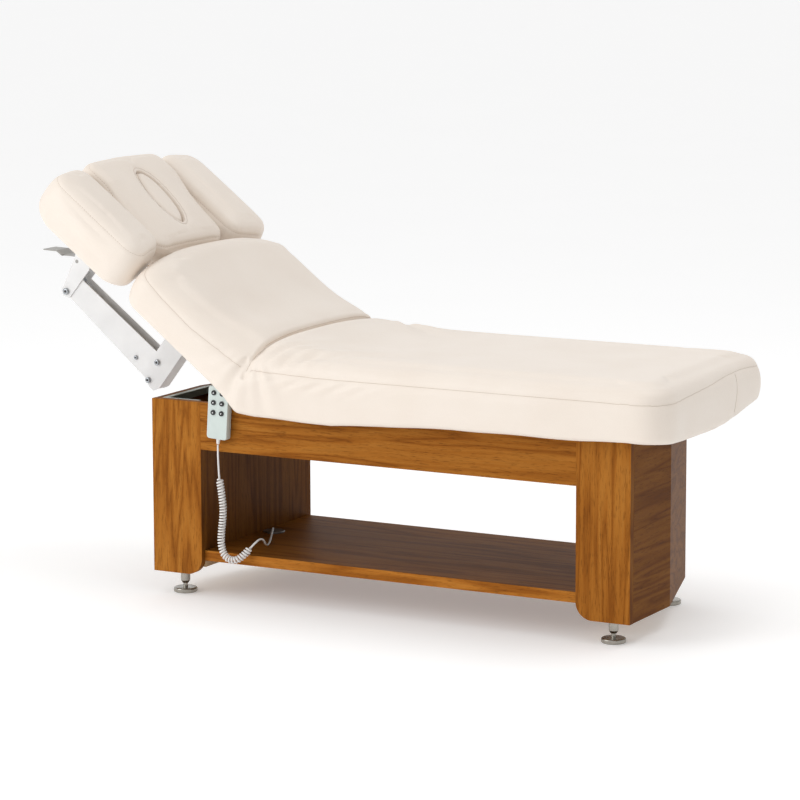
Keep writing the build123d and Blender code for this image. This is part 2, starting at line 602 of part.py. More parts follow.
def make_actuators():
    half_back, half_leg = BACK_FOLD / 2, LEG_FOLD / 2
    drop = HINGE_Z - LEVER_ARM
    back_high = HINGE_Z - LEVER_ARM * math.cos(math.radians(half_back))
    pin_x = BACK_HINGE_X - LEVER_ARM * math.sin(math.radians(BACK_ANGLE - half_back))
    z = (drop + back_high) / 2
    shift = Pos(0, -60, 0)
    tube_end = BACK_HINGE_X + 250
    add("back_actuator", shift * actuator(BACK_HINGE_X + 80, tube_end, tube_end + 28, tube_end, z))
    add("back_actuator_rod", shift * actuator_rod(pin_x, BACK_HINGE_X + 220, drop, back_high))
    leg_high = HINGE_Z - LEVER_ARM * math.cos(math.radians(half_leg))
    z = (drop + leg_high) / 2
    turn = Pos(LEG_HINGE_X, 60, 0)
    start = LEVER_ARM * math.sin(math.radians(half_leg))
    add("leg_actuator", turn * mirror_x(actuator(70, 190, 175, 240, z)))
    add("leg_actuator_rod", turn * mirror_x(actuator_rod(start, 160, drop, leg_high)))


def in_handset(shape):
    """From a handset drawn upright about its own middle, back at y = 0, to where it hangs."""
    middle_z = (HANDSET_Z[0] + HANDSET_Z[1]) / 2
    return Pos(HANDSET_X, HANDSET_BACK_Y, middle_z) * Rot(0, HANDSET_TILT, 0) * shape


def make_handset():
    half, tall, deep = HANDSET_WIDTH / 2, (HANDSET_Z[1] - HANDSET_Z[0]) / 2, HANDSET_DEPTH
    back = block((-half, half), (-9, 0), (-tall, tall))
    back = fillet(back.edges().filter_by(Axis.Y), 8)
    front = block((-half, half), (-deep, -9), (-tall, tall))
    front = fillet(front.edges().filter_by(Axis.Y), 8)
    front = fillet(front.faces().sort_by(Axis.Y)[0].edges(), 2)
    well = BUTTON_RADIUS + 0.4
    number = 0
    for column, x in enumerate((-12.5, 12.5)):
        for row in range(3):
            number += 1
            z = 52 - 26 * row
            front -= Pos(x, -deep, z) * Rot(90, 0, 0) * Cylinder(well, 10)
            cap = Pos(x, -deep - 0.5, z) * Rot(90, 0, 0) * Cylinder(BUTTON_RADIUS, 7)
            cap = fillet(cap.edges().filter_by(GeomType.CIRCLE).sort_by(Axis.Y)[0], 1)
            add(f"button_{number}", in_handset(cap))
    add("handset_back", in_handset(back))
    add("handset_front", in_handset(front))
    relief = Pos(0, -10, -tall) * Cone(4, 5.5, 14, align=(Align.CENTER, Align.CENTER, Align.MAX))
    add("strain_relief", in_handset(relief))
    hook = block((HANDSET_X - 12, HANDSET_X + 12), (HANDSET_BACK_Y + 0.4, HANDSET_BACK_Y + 2.4), (530, 557))
    hook += block((HANDSET_X - 12, HANDSET_X + 12), (HANDSET_BACK_Y + 0.4, 10 - RAIL_Y), (522, 525))
    hook += block((HANDSET_X - 12, HANDSET_X + 12), (HANDSET_BACK_Y + 0.4, HANDSET_BACK_Y + 3.4), (522, 530))
    hook += block((HANDSET_X - 12, HANDSET_X + 12), (-RAIL_Y - RAIL_HALF_WIDTH, 10 - RAIL_Y), (RAIL_Z[1], 525))
    add("handset_hook", hook)


def corner_radii(points):
    """Radius of each corner: 0.45 of its shorter run, divided by the tangent of half the turn."""
    radii = []
    for a, b, c in zip(points, points[1:], points[2:]):
        first, second = Vector(*b) - Vector(*a), Vector(*c) - Vector(*b)
        turn = math.radians(first.get_angle(second))
        radii.append(0.45 * min(first.length, second.length) / math.tan(turn / 2))
    return radii


def cord_tube(name, points, diameter):
    radii = corner_radii(points)
    path = FilletPolyline(*points, radius=radii)
    section = Plane(origin=path @ 0, z_dir=path % 0) * Circle(diameter / 2)
    solid = sweep(section, path=path)
    expected = math.pi * (diameter / 2) ** 2 * path.length
    print(f"{name}: length {path.length:.1f}, least radius {min(radii):.0f},",
          f"volume ratio {solid.volume / expected:.3f}")
    add(name, solid)


def make_cord():
    cord_tube("cord_top", CORD_TOP_ROUTE, CORD_DIAMETER)
    cord_tube("cord_coil", COIL_ROUTE, COIL_DIAMETER)
    cord_tube("cord_tail", CORD_TAIL_ROUTE, CORD_DIAMETER)


make_base()
add("shelf_grommet", grommet())
make_feet()
make_columns()
make_seat()
make_back()
make_head()
make_leg()
make_actuators()
make_handset()
make_cord()

os.makedirs("parts", exist_ok=True)
for name, shape in parts.items():
    export_step(shape, f"parts/{name}.step")
low = Vector(*[min(tuple(s.bounding_box().min)[i] for s in parts.values()) for i in range(3)])
high = Vector(*[max(tuple(s.bounding_box().max)[i] for s in parts.values()) for i in range(3)])
print(len(parts), "nodes; box", [round(v, 1) for v in (*low, *high)])
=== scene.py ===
import math

import bmesh
import bpy
import numpy as np
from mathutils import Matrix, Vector
from mathutils.bvhtree import BVHTree


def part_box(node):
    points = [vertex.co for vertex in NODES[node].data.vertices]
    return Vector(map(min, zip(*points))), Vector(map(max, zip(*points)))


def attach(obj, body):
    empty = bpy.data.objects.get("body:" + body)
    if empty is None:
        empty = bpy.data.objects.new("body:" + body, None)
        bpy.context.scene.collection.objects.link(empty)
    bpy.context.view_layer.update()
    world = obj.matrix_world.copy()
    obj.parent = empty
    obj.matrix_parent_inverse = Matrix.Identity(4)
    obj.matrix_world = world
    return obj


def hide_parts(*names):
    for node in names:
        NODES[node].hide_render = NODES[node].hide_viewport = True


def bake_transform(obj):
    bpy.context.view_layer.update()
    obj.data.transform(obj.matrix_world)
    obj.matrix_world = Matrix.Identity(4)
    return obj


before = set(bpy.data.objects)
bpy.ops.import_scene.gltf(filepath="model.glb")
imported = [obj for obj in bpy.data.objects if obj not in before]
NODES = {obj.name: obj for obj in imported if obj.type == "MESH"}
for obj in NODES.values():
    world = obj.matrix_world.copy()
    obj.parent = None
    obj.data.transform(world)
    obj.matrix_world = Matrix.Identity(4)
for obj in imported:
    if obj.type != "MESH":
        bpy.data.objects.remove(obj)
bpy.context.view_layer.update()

# Frame coordinates, metres: +X towards the foot of the bed, +Y away from the handset side, +Z up.
HINGE_Z = 0.540
BACK_HINGE_X = -0.1916
LEG_HINGE_X = 0.3044
BACK_ANGLE = math.radians(37.5)
HALF_WIDTH = 0.350
CUT_X = 0.0544              # the mattress is split here, in the middle of the seat
BACK_END = 0.416            # the back's head end at its corners, measured along it from the hinge
HEAD_START = 0.430          # the head cushions, measured the same way
HEAD_END = 0.809
END_BOW = 0.054             # how far both of these ends bow out in the middle
CENTRE_HALF = 0.178
PLUG_PLACE = 0.640

CAMERA_PLACE = (4.4456, -7.9637, 2.0213)
CAMERA_TURN = (80.591, 0.15, 28.603)
CAMERA_LENS = 158.6


# ---------------------------------------------------------------- small helpers

def link(obj):
    bpy.context.scene.collection.objects.link(obj)
    return obj


def mesh_object(name, verts, faces, smooth=True):
    mesh = bpy.data.meshes.new(name)
    mesh.from_pydata([tuple(v) for v in verts], [], [tuple(f) for f in faces])
    mesh.validate()
    mesh.polygons.foreach_set("use_smooth", [smooth] * len(mesh.polygons))
    return link(bpy.data.objects.new(name, mesh))


def vertex_values(obj, kind):
    values = np.empty(len(obj.data.vertices) * 3)
    obj.data.vertices.foreach_get(kind, values)
    return values.reshape(-1, 3)


def coordinates(obj):
    return vertex_values(obj, "co")


def normals(obj):
    return vertex_values(obj, "normal")


def set_coordinates(obj, co):
    obj.data.vertices.foreach_set("co", np.asarray(co, float).ravel())
    obj.data.update()


def add_modifier(obj, kind, **settings):
    mod = obj.modifiers.new(kind.lower(), kind)
    for key, value in settings.items():
        setattr(mod, key, value)
    return mod


def evaluated_mesh(obj):
    return bpy.data.meshes.new_from_object(obj.evaluated_get(bpy.context.evaluated_depsgraph_get()))


def apply_modifiers(obj):
    mesh = evaluated_mesh(obj)
    old = obj.data
    obj.modifiers.clear()
    obj.data = mesh
    bpy.data.meshes.remove(old)
    obj.data.name = obj.name
    obj.data.polygons.foreach_set("use_smooth", [True] * len(obj.data.polygons))
    return obj


def smoothstep(a, b, x):
    t = np.clip((x - a) / (b - a), 0, 1)
    return t * t * (3 - 2 * t)


def bell(x, width):
    return np.exp(-((x / width) ** 2))


def rounded(points, radii, steps=10):
    """Closed outline with each corner turned into an arc of the given radius."""
    made = []
    count = len(points)
    for i in range(count):
        before, corner, after = (np.array(points[j % count], float) for j in (i - 1, i, i + 1))
        a, b = before - corner, after - corner
        a, b = a / np.linalg.norm(a), b / np.linalg.norm(b)
        half = math.acos(np.clip(a @ b, -1, 1)) / 2
        reach = radii[i] / math.tan(half)
        centre = corner + (a + b) / np.linalg.norm(a + b) * radii[i] / math.sin(half)
        start, end = corner + a * reach, corner + b * reach
        first = math.atan2(*(start - centre)[::-1])
        turn = math.atan2(*(end - centre)[::-1]) - first
        turn = (turn + math.pi) % (2 * math.pi) - math.pi
        for k in range(steps + 1):
            angle = first + turn * k / steps
            made.append(centre + radii[i] * np.array([math.cos(angle), math.sin(angle)]))
    return np.array(made)


def resample(outline, spacing):
    """The same closed outline with points evenly spaced."""
    closed = np.vstack([outline, outline[:1]])
    run = np.concatenate([[0], np.cumsum(np.linalg.norm(np.diff(closed, axis=0), axis=1))])
    count = max(24, int(run[-1] / spacing))
    at = np.linspace(0, run[-1], count, endpoint=False)
    return np.stack([np.interp(at, run, closed[:, i]) for i in range(closed.shape[1])], axis=1)


def outward(outline):
    """Unit normals of a closed counter-clockwise outline, pointing out."""
    along = np.roll(outline, -1, axis=0) - np.roll(outline, 1, axis=0)
    along /= np.linalg.norm(along, axis=1)[:, None]
    return np.stack([along[:, 1], -along[:, 0]], axis=1)


def ring_faces(rings, count):
    """Quads between closed rings of count points each."""
    faces = []
    for k in range(rings - 1):
        for i in range(count):
            j = (i + 1) % count
            faces.append((k * count + i, k * count + j, (k + 1) * count + j, (k + 1) * count + i))
    return faces


def ring_caps(rings, count):
    return [tuple(range(count))[::-1], tuple((rings - 1) * count + i for i in range(count))]


def ring_solid(name, outline, profile, place):
    """Closed solid from a plan outline and a profile of (inset, height) from the underside to the top."""
    out = outward(outline)
    verts = []
    for inset, height in profile:
        verts += [(p[0], p[1], height) for p in outline - out * inset]
    faces = ring_faces(len(profile), len(outline)) + ring_caps(len(profile), len(outline))
    return mesh_object(name, place(np.array(verts)), faces, smooth=False)


def join(target, others):
    """Adds the meshes of the others to the target and removes them. Their material slots follow."""
    bm = bmesh.new()
    bm.from_mesh(target.data)
    for other in others:
        first = len(target.data.materials)
        for m in other.data.materials:
            target.data.materials.append(m)
        before = len(bm.faces)
        bm.from_mesh(other.data)
        bm.faces.ensure_lookup_table()
        for f in bm.faces[before:]:
            f.material_index += first
        bpy.data.objects.remove(other)
    bm.to_mesh(target.data)
    bm.free()
    target.data.update()
    return target


def cut(obj, point, normal):
    """Keeps the side of the plane that the normal points away from, and closes it."""
    bm = bmesh.new()
    bm.from_mesh(obj.data)
    bmesh.ops.bisect_plane(bm, geom=bm.verts[:] + bm.edges[:] + bm.faces[:], dist=1e-6,
                           plane_co=point, plane_no=normal, clear_outer=True)
    edge = [e for e in bm.edges if e.is_boundary]
    for face in bmesh.ops.holes_fill(bm, edges=edge, sides=0)["faces"]:
        face.smooth = False
    for e in edge:
        e.smooth = False
    bm.to_mesh(obj.data)
    bm.free()
    obj.data.update()
    return obj


def duplicate(obj, name):
    copy = obj.copy()
    copy.data = obj.data.copy()
    copy.name = name
    return link(copy)


def tube_mesh(name, path, radius, sides=6, closed=False):
    """Tube along a polyline, with a frame carried along it without twist."""
    path = np.array(path, float)
    count = len(path)
    nxt = np.roll(path, -1, axis=0) - np.roll(path, 1, axis=0)
    if not closed:
        nxt[0], nxt[-1] = path[1] - path[0], path[-1] - path[-2]
    tangent = nxt / np.linalg.norm(nxt, axis=1)[:, None]
    side = np.cross(tangent[0], (0.0, 0.0, 1.0))
    if np.linalg.norm(side) < 1e-3:
        side = np.cross(tangent[0], (1.0, 0.0, 0.0))
    verts = []
    angles = np.linspace(0, 2 * math.pi, sides, endpoint=False)
    for i in range(count):
        side = side - tangent[i] * (side @ tangent[i])
        side /= np.linalg.norm(side)
        other = np.cross(tangent[i], side)
        verts += [path[i] + radius * (math.cos(a) * side + math.sin(a) * other) for a in angles]
    faces = ring_faces(count, sides)
    if closed:
        last = (count - 1) * sides
        faces += [(last + k, last + (k + 1) % sides, (k + 1) % sides, k) for k in range(sides)]
    else:
        faces += ring_caps(count, sides)
    return mesh_object(name, verts, faces)


# ---------------------------------------------------------------- materials

class Shader:
    """A material's node tree, with short calls for the nodes used here."""

    def __init__(self, name):
        self.material = bpy.data.materials.new(name)
        self.material.use_nodes = True
        self.tree = self.material.node_tree
        self.surface = self.tree.nodes["Principled BSDF"]

    def node(self, kind, inputs=None, **settings):
        node = self.tree.nodes.new(kind)
        for key, value in settings.items():
            setattr(node, key, value)
        for key, value in (inputs or {}).items():
            self.put(node.inputs[key], value)
        return node

    def put(self, socket, value):
        if isinstance(value, bpy.types.NodeSocket):
            self.tree.links.new(value, socket)
        else:
            socket.default_value = value

    def set(self, **values):
        for key, value in values.items():
            self.put(self.surface.inputs[key.replace("_", " ")], value)
        return self

    def place(self, scale=(1, 1, 1), turn=(0, 0, 0), shift=(0, 0, 0)):
        where = self.node("ShaderNodeTexCoord")
        return self.node("ShaderNodeMapping", {"Vector": where.outputs["Object"], "Scale": scale,
                                               "Rotation": turn, "Location": shift}).outputs["Vector"]

    def noise(self, vector, scale, detail=4.0, rough=0.5, distortion=0.0):
        return self.node("ShaderNodeTexNoise", {"Vector": vector, "Scale": scale, "Detail": detail,
                                                "Roughness": rough, "Distortion": distortion}).outputs["Fac"]

    def ramp(self, factor, stops):
        node = self.node("ShaderNodeValToRGB", {"Fac": factor})
        elements = node.color_ramp.elements
        while len(elements) < len(stops):
            elements.new(0.5)
        for element, (place, colour) in zip(elements, stops):
            element.position = place
            element.color = (*colour, 1)
        return node.outputs["Color"]

    def range(self, value, low, high, to_low, to_high):
        return self.node("ShaderNodeMapRange", {"Value": value, "From Min": low, "From Max": high,
                                                "To Min": to_low, "To Max": to_high}).outputs["Result"]

    def math(self, operation, a, b=0.0):
        node = self.node("ShaderNodeMath", operation=operation)
        self.put(node.inputs[0], a)
        self.put(node.inputs[1], b)
        return node.outputs[0]

    def mix(self, factor, a, b, blend="MIX"):
        node = self.node("ShaderNodeMix", data_type="RGBA", blend_type=blend)
        self.put(node.inputs["Factor"], factor)
        self.put(node.inputs["A"], a)
        self.put(node.inputs["B"], b)
        return node.outputs["Result"]

    def mottled(self, factor, low, high, most, colour, share):
        """The colour, blotched with a darker share of itself."""
        return self.mix(self.range(factor, low, high, 0.0, most), rgba(*colour), rgba(*scaled(colour, share)))

    def bump(self, height, strength, distance, normal=None):
        inputs = {"Height": height, "Strength": strength, "Distance": distance}
        if normal is not None:
            inputs["Normal"] = normal
        return self.node("ShaderNodeBump", inputs).outputs["Normal"]


def rgba(r, g, b):
    return (r, g, b, 1.0)


def scaled(colour, share):
    return tuple(c * share for c in colour)


def leather(name, colour, roughness=0.46):
    """Imitation leather: fine pebble grain, slow tone changes, and a soft sheen."""
    s = Shader(name)
    at = s.place()
    cells = s.node("ShaderNodeTexVoronoi", {"Vector": at, "Scale": 900.0}, feature="DISTANCE_TO_EDGE")
    pebble = s.range(cells.outputs["Distance"], 0.0, 0.35, 0.0, 1.0)
    fine = s.noise(at, 2400.0, 3.0)
    slow = s.noise(at, 7.0, 3.0)
    crease = s.noise(at, 42.0, 5.0, 0.6)
    dark = tuple(c * k for c, k in zip(colour, (0.975, 0.965, 0.955)))
    tone = s.mix(s.range(slow, 0.35, 0.7, 0.0, 1.0), rgba(*colour), rgba(*dark))
    # darker along the creases between the grain's pebbles
    crease_darkened = s.mix(s.range(pebble, 0.0, 0.5, 0.12, 0.0), tone, rgba(*scaled(colour, 0.7)), "MULTIPLY")
    grain = s.bump(s.math("ADD", pebble, s.math("MULTIPLY", fine, 0.4)), 0.22, 0.0004)
    folds = s.bump(crease, 0.06, 0.003, grain)
    return s.set(Base_Color=crease_darkened, Roughness=s.range(fine, 0.3, 0.7, roughness - 0.05, roughness + 0.07),
                 Sheen_Weight=0.12, Sheen_Roughness=0.4, Coat_Weight=0.06, Coat_Roughness=0.35,
                 Normal=folds).material


def oak(name, along, dark=1.0, shift=0.0, side=None):
    """Stained oak veneer. along is the grain's axis; side gives an axis and a factor that paints light or
    shade on the faces across that axis.
    """
    s = Shader(name)

    def stretched(across, on_grain):
        return tuple(on_grain if i == along else across for i in range(3))

    def stain(r, g, b):
        return rgba(r * dark, g * dark, b * dark)

    at = s.place(stretched(1.0, 0.06), shift=(shift, shift * 1.7, shift * 0.6))
    plain = s.place(shift=(shift, 0, shift))
    warp = s.noise(at, 9.0, 3.0, 0.55, 0.4)
    bands = s.math("FRACT", s.math("MULTIPLY", warp, 11.0))
    rings = s.math("ABSOLUTE", s.math("SUBTRACT", bands, 0.5))
    fibre = s.noise(s.place(stretched(1.0, 0.018)), 420.0, 5.0, 0.65)
    pores = s.noise(s.place(stretched(0.7, 0.05)), 900.0, 2.0, 0.5)
    slow = s.noise(plain, 3.2, 2.0)
    colour = s.ramp(s.math("ADD", s.math("MULTIPLY", rings, 0.5), s.math("MULTIPLY", fibre, 0.8)), [
        (0.22, scaled((0.190, 0.052, 0.0060), dark)),
        (0.42, scaled((0.330, 0.112, 0.0140), dark)),
        (0.62, scaled((0.430, 0.165, 0.0250), dark)),
        (0.86, scaled((0.520, 0.225, 0.0420), dark)),
    ])
    toned = s.mix(s.range(slow, 0.3, 0.7, 0.0, 0.35), colour, stain(0.24, 0.072, 0.007))
    lines = s.mix(s.range(rings, 0.0, 0.20, 0.34, 0.0), toned, stain(0.13, 0.036, 0.004))
    streaks = s.mix(s.range(fibre, 0.50, 0.68, 0.0, 0.36), lines, stain(0.15, 0.043, 0.005))
    # painted light and shade: faces across the side axis have their colour multiplied by the side factor
    if side is not None:
        facing = s.node("ShaderNodeSeparateXYZ", {"Vector": s.node("ShaderNodeTexCoord").outputs["Normal"]})
        axis, tone = side
        painted_light_share = s.range(s.math("ABSOLUTE", facing.outputs[axis]), 0.5, 0.8, 0.0, 1.0)
        streaks = s.mix(painted_light_share, streaks, s.mix(1.0, streaks, rgba(tone, tone, tone), "MULTIPLY"))
    pored = s.mix(s.range(pores, 0.56, 0.68, 0.0, 0.5), streaks, stain(0.080, 0.022, 0.003))
    relief = s.math("ADD", s.math("MULTIPLY", fibre, 0.5), s.range(pores, 0.55, 0.7, 0.5, 0.0))
    normal = s.bump(relief, 0.15, 0.0006)
    return s.set(Base_Color=pored, Roughness=s.range(fibre, 0.3, 0.7, 0.42, 0.55),
                 Specular_IOR_Level=0.04, Normal=normal).material


def powder(name, colour, roughness=0.38, metallic=0.0, grime=0.04):
    """Painted or powder-coated metal with a faint orange peel."""
    s = Shader(name)
    at = s.place()
    peel = s.noise(at, 700.0, 2.0)
    slow = s.noise(at, 14.0, 3.0)
    return s.set(Base_Color=s.mottled(slow, 0.35, 0.75, 1.0, colour, 1 - 2.2 * grime), Metallic=metallic,
                 Roughness=s.range(slow, 0.3, 0.7, roughness - 0.05, roughness + 0.08),
                 Coat_Weight=0.15, Coat_Roughness=0.2, Normal=s.bump(peel, 0.12, 0.0005)).material


def plated(name, colour, roughness=0.22, along=2):
    """Zinc or chrome plating with fine turning marks."""
    s = Shader(name)
    stretch = [40.0, 40.0, 40.0]
    stretch[along] = 900.0
    lines = s.noise(s.place(tuple(stretch)), 1.0, 3.0)
    slow = s.noise(s.place(), 90.0, 3.0)
    return s.set(Base_Color=s.mottled(slow, 0.4, 0.7, 0.5, colour, 0.72), Metallic=1.0,
                 Roughness=s.range(lines, 0.3, 0.7, roughness - 0.06, roughness + 0.1),
                 Normal=s.bump(lines, 0.15, 0.0003)).material


def moulded(name, colour, roughness=0.42, grain=0.10):
    """Moulded plastic with a fine spark-eroded texture."""
    s = Shader(name)
    at = s.place()
    spark = s.noise(at, 1500.0, 3.0)
    slow = s.noise(at, 30.0, 2.0)
    return s.set(Base_Color=s.mottled(slow, 0.35, 0.7, 0.5, colour, 0.9),
                 Roughness=s.range(spark, 0.3, 0.7, roughness - 0.05, roughness + 0.06),
                 Normal=s.bump(spark, grain, 0.0003)).material


def plywood(name):
    """Sanded plywood: a fibrous face, with its layers showing as slow bands."""
    s = Shader(name)
    fibre = s.noise(s.place((0.04, 1.0, 1.0)), 160.0, 5.0, 0.6)
    plies = s.math("FRACT", s.math("MULTIPLY", s.noise(s.place((0.2, 0.2, 1.0)), 12.0, 0.0), 6.0))
    colour = s.ramp(fibre, [(0.3, (0.36, 0.23, 0.12)), (0.5, (0.50, 0.35, 0.20)), (0.75, (0.58, 0.43, 0.27))])
    layered = s.mix(s.range(plies, 0.4, 0.6, 0.0, 0.25), colour, rgba(0.30, 0.19, 0.10))
    return s.set(Base_Color=layered, Roughness=0.7, Normal=s.bump(fibre, 0.2, 0.0006)).material


CREAM = (0.86, 0.775, 0.69)
MAT = {
    "leather": leather("cream_leather_grain", CREAM),
    # partly painted shade: the thread is darker than the leather, standing in for shade along the seams as
    # well as the thread
    "seam": leather("seam_thread_and_shade", (0.60, 0.50, 0.41), 0.6),
    # painted shade: on the front and rear panels, faces towards head and foot are darkened to half
    "oak_z": oak("oak_upright", 2, side=(0, 0.5)),
    "oak_z_far": oak("oak_upright_far", 2, shift=3.1, side=(0, 0.5)),
    # partly painted shade: the end panels' oak is darkened to 0.46, partly a darker veneer and partly shade
    # of the dimly lit end faces
    "oak_y": oak("oak_across_dark_and_shaded", 1, 0.46, shift=1.3),
    "oak_x": oak("oak_along", 0, shift=0.7),
    # painted light: the shelf's edges facing front and back are made 1.9 times brighter, as on its lit front
    # edge
    "oak_shelf": oak("oak_shelf", 0, 0.62, shift=5.2, side=(1, 1.9)),
    # painted shade: the inner panels' oak is darkened to half for the shade inside the pedestals
    "oak_inner": oak("oak_inner_upright_shaded", 2, 0.50, shift=2.2),
    "ply": plywood("plywood_faces"),
    "white": powder("white_powder_coat", (0.80, 0.80, 0.80), 0.36),
    "lever_grey": powder("lever_grey_paint", (0.34, 0.33, 0.31), 0.4),
    "rim": powder("rim_grey_green", (0.30, 0.35, 0.31), 0.35, 0.3, 0.08),
    "black": powder("black_paint", (0.030, 0.030, 0.033), 0.42),
    "zinc": plated("zinc_plate", (0.40, 0.38, 0.34), 0.24),
    "port": plated("port_grey_plate", (0.26, 0.26, 0.26), 0.35),
    "chrome": plated("bright_plate", (0.42, 0.44, 0.46), 0.22, along=1),
    "socket": powder("hex_socket_shadow", (0.035, 0.035, 0.04), 0.5),
    "housing": moulded("black_housing", (0.028, 0.028, 0.030), 0.5),
    "glide": moulded("pale_glide", (0.62, 0.62, 0.60), 0.45),
    "handset": moulded("handset_shell", (0.60, 0.67, 0.64), 0.40),
    "handset_back": moulded("handset_back_shell", (0.47, 0.52, 0.50), 0.45),
    "button": moulded("button_black_gloss", (0.016, 0.016, 0.017), 0.22, 0.03),
    "mark": moulded("print_white", (0.86, 0.88, 0.88), 0.4, 0.02),
    "cord": moulded("cord_pale", (0.80, 0.78, 0.76), 0.36, 0.05),
}

NODE_MATERIALS = {
    "leather": ["seat_cushion", "back_cushion", "leg_cushion", "near_head_cushion", "centre_head_cushion",
                "far_head_cushion", "face_hole_plug"],
    "oak_x": ["near_apron", "far_apron"],
    "oak_shelf": ["shelf"],
    "ply": ["pedestal_floors", "seat_board", "back_board", "leg_board", "head_board"],
    "white": ["arm_bracket", "head_arm", "head_bracket"],
    "lever_grey": ["release_lever"],
    "rim": ["rim_frames"],
    "black": ["seat_frame", "back_frame", "leg_frame", "hinge_pins", "column_outer_tubes", "handset_hook",
              "gas_spring_cylinder"],
    "zinc": ["back_actuator_rod", "leg_actuator_rod"] + [
        f"levelling_foot_{end}_{side}" for end in ("head", "foot") for side in ("near", "far")],
    "port": ["shelf_grommet"],
    "chrome": ["headrest_bolts", "gas_spring_rod", "column_inner_tubes"],
    "housing": ["back_actuator", "leg_actuator"],
    "glide": ["glide_collars"],
    "handset": ["handset_front"],
    "handset_back": ["handset_back"],
    "button": [f"button_{i}" for i in range(1, 7)],
    "cord": ["strain_relief", "cord_top", "cord_coil", "cord_tail"],
}
for key, panel in {"oak_z": "front", "oak_z_far": "rear", "oak_y": "end", "oak_inner": "inner"}.items():
    NODE_MATERIALS[key] = [f"{end}_pedestal_{panel}_panel" for end in ("foot", "head")]
BEVELS = {"oak_z": 0.0015, "oak_z_far": 0.0015, "oak_y": 0.0012, "oak_x": 0.0012, "oak_shelf": 0.0012,
          "oak_inner": 0.001, "rim": 0.0008, "black": 0.0008, "ply": 0.0008, "housing": 0.002}

for key, names in NODE_MATERIALS.items():
    for name in names:
        node = NODES[name]
        node.data.materials.clear()
        node.data.materials.append(MAT[key])
        if key in BEVELS:
            add_modifier(node, "WELD", merge_threshold=0.00002)
            add_modifier(node, "BEVEL", width=BEVELS[key], segments=2, limit_method="ANGLE",
                         angle_limit=math.radians(35), harden_normals=False)
            add_modifier(node, "WEIGHTED_NORMAL", weight=100, keep_sharp=True)


# ---------------------------------------------------------------- camera and cord

camera = link(bpy.data.objects.new("camera", bpy.data.cameras.new("camera")))
camera.location = CAMERA_PLACE
camera.rotation_euler = [math.radians(a) for a in CAMERA_TURN]
camera.data.lens = CAMERA_LENS
camera.data.sensor_width = 36
camera.data.clip_end = 60
bpy.context.scene.camera = camera

BASE_SHIFT = 0.2044         # the cord's route points are given from the base's middle, in millimetres
CORD_RADIUS = 0.0025
COIL_RADIUS = 0.0075
COIL_TURNS = 38
CORD_TOP_ROUTE = [(-478.6, -302, 416), (-479, -302.5, 372), (-474.5, -303, 328)]
COIL_ROUTE = [
    (-474.5, -303, 328), (-467, -304, 288), (-462, -305, 244), (-466.5, -306, 200), (-471, -306, 160),
    (-462, -306, 126), (-438, -304, 112), (-413, -297, 122), (-396, -281, 147),
]
CORD_TAIL_ROUTE = [
    (-395.8, -280.8, 147.4), (-387, -272.5, 160), (-382.5, -254, 168), (-386, -231, 161), (-394, -208, 145),
    (-406, -180, 134), (-420, -150, 130), (-437, -114, 128.4), (-455, -78, 129.5), (-471, -46, 134.5),
    (-484, -20, 141), (-495, 2, 142), (-504, 17, 129),
]


def in_frame(points):
    return [(x / 1000 + BASE_SHIFT, y / 1000, z / 1000) for x, y, z in points]


def spline_points(name, points):
    """Evenly spaced points along a smooth curve through the route."""
    data = bpy.data.curves.new(name, "CURVE")
    data.dimensions = "3D"
    data.resolution_u = 24
    spline = data.splines.new("NURBS")
    spline.points.add(len(points) - 1)
    for target, p in zip(spline.points, points):
        target.co = (*p, 1)
    spline.order_u = 3
    spline.use_endpoint_u = True
    curve = link(bpy.data.objects.new(name, data))
    mesh = evaluated_mesh(curve)
    made = np.array([v.co for v in mesh.vertices])
    bpy.data.objects.remove(curve)
    bpy.data.meshes.remove(mesh)
    return made


def even(points, step):
    """The same open line with points about a step apart."""
    run = np.concatenate([[0], np.cumsum(np.linalg.norm(np.diff(points, axis=0), axis=1))])
    at = np.linspace(0, run[-1], max(2, int(round(run[-1] / step)) + 1))
    return np.stack([np.interp(at, run, points[:, i]) for i in range(3)], axis=1)


def helix(centre, turns, radius, per_turn=18):
    """Helix round a centre line, its first and last turn easing off the line."""
    count = turns * per_turn + 1
    centre = even(centre, 1e-9 + np.linalg.norm(np.diff(centre, axis=0), axis=1).sum() / (count - 1))
    centre = centre[:count]
    tangent = np.gradient(centre, axis=0)
    tangent /= np.linalg.norm(tangent, axis=1)[:, None]
    side = np.cross(tangent[0], (0.0, 1.0, 0.0))
    made = []
    for i, (c, t) in enumerate(zip(centre, tangent)):
        side = side - t * (side @ t)
        side /= np.linalg.norm(side)
        angle = 2 * math.pi * i / per_turn
        ease = min(1.0, i / per_turn, (len(centre) - 1 - i) / per_turn)
        grow = radius * math.sin(ease * math.pi / 2)
        made.append(c + grow * (math.cos(angle) * side + math.sin(angle) * np.cross(t, side)))
    return np.array(made)


top_line = even(spline_points("cord_top_line", in_frame(CORD_TOP_ROUTE)), 0.004)
coil_line = helix(spline_points("coil_line", in_frame(COIL_ROUTE)), COIL_TURNS, COIL_RADIUS)
tail_line = even(spline_points("cord_tail_line", in_frame(CORD_TAIL_ROUTE)), 0.004)
cord_path = np.vstack([top_line[:-1], coil_line, tail_line[1:]])
handset_cord = tube_mesh("handset_cord", cord_path, CORD_RADIUS, sides=10)
handset_cord.data.materials.append(MAT["cord"])
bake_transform(handset_cord)
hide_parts("cord_top", "cord_coil", "cord_tail")


# ---------------------------------------------------------------- upholstery

def place_seat(points):
    """Seat and leg section: x along the bed from the back hinge, height from the hinge plane."""
    return points + np.array([BACK_HINGE_X, 0, HINGE_Z])


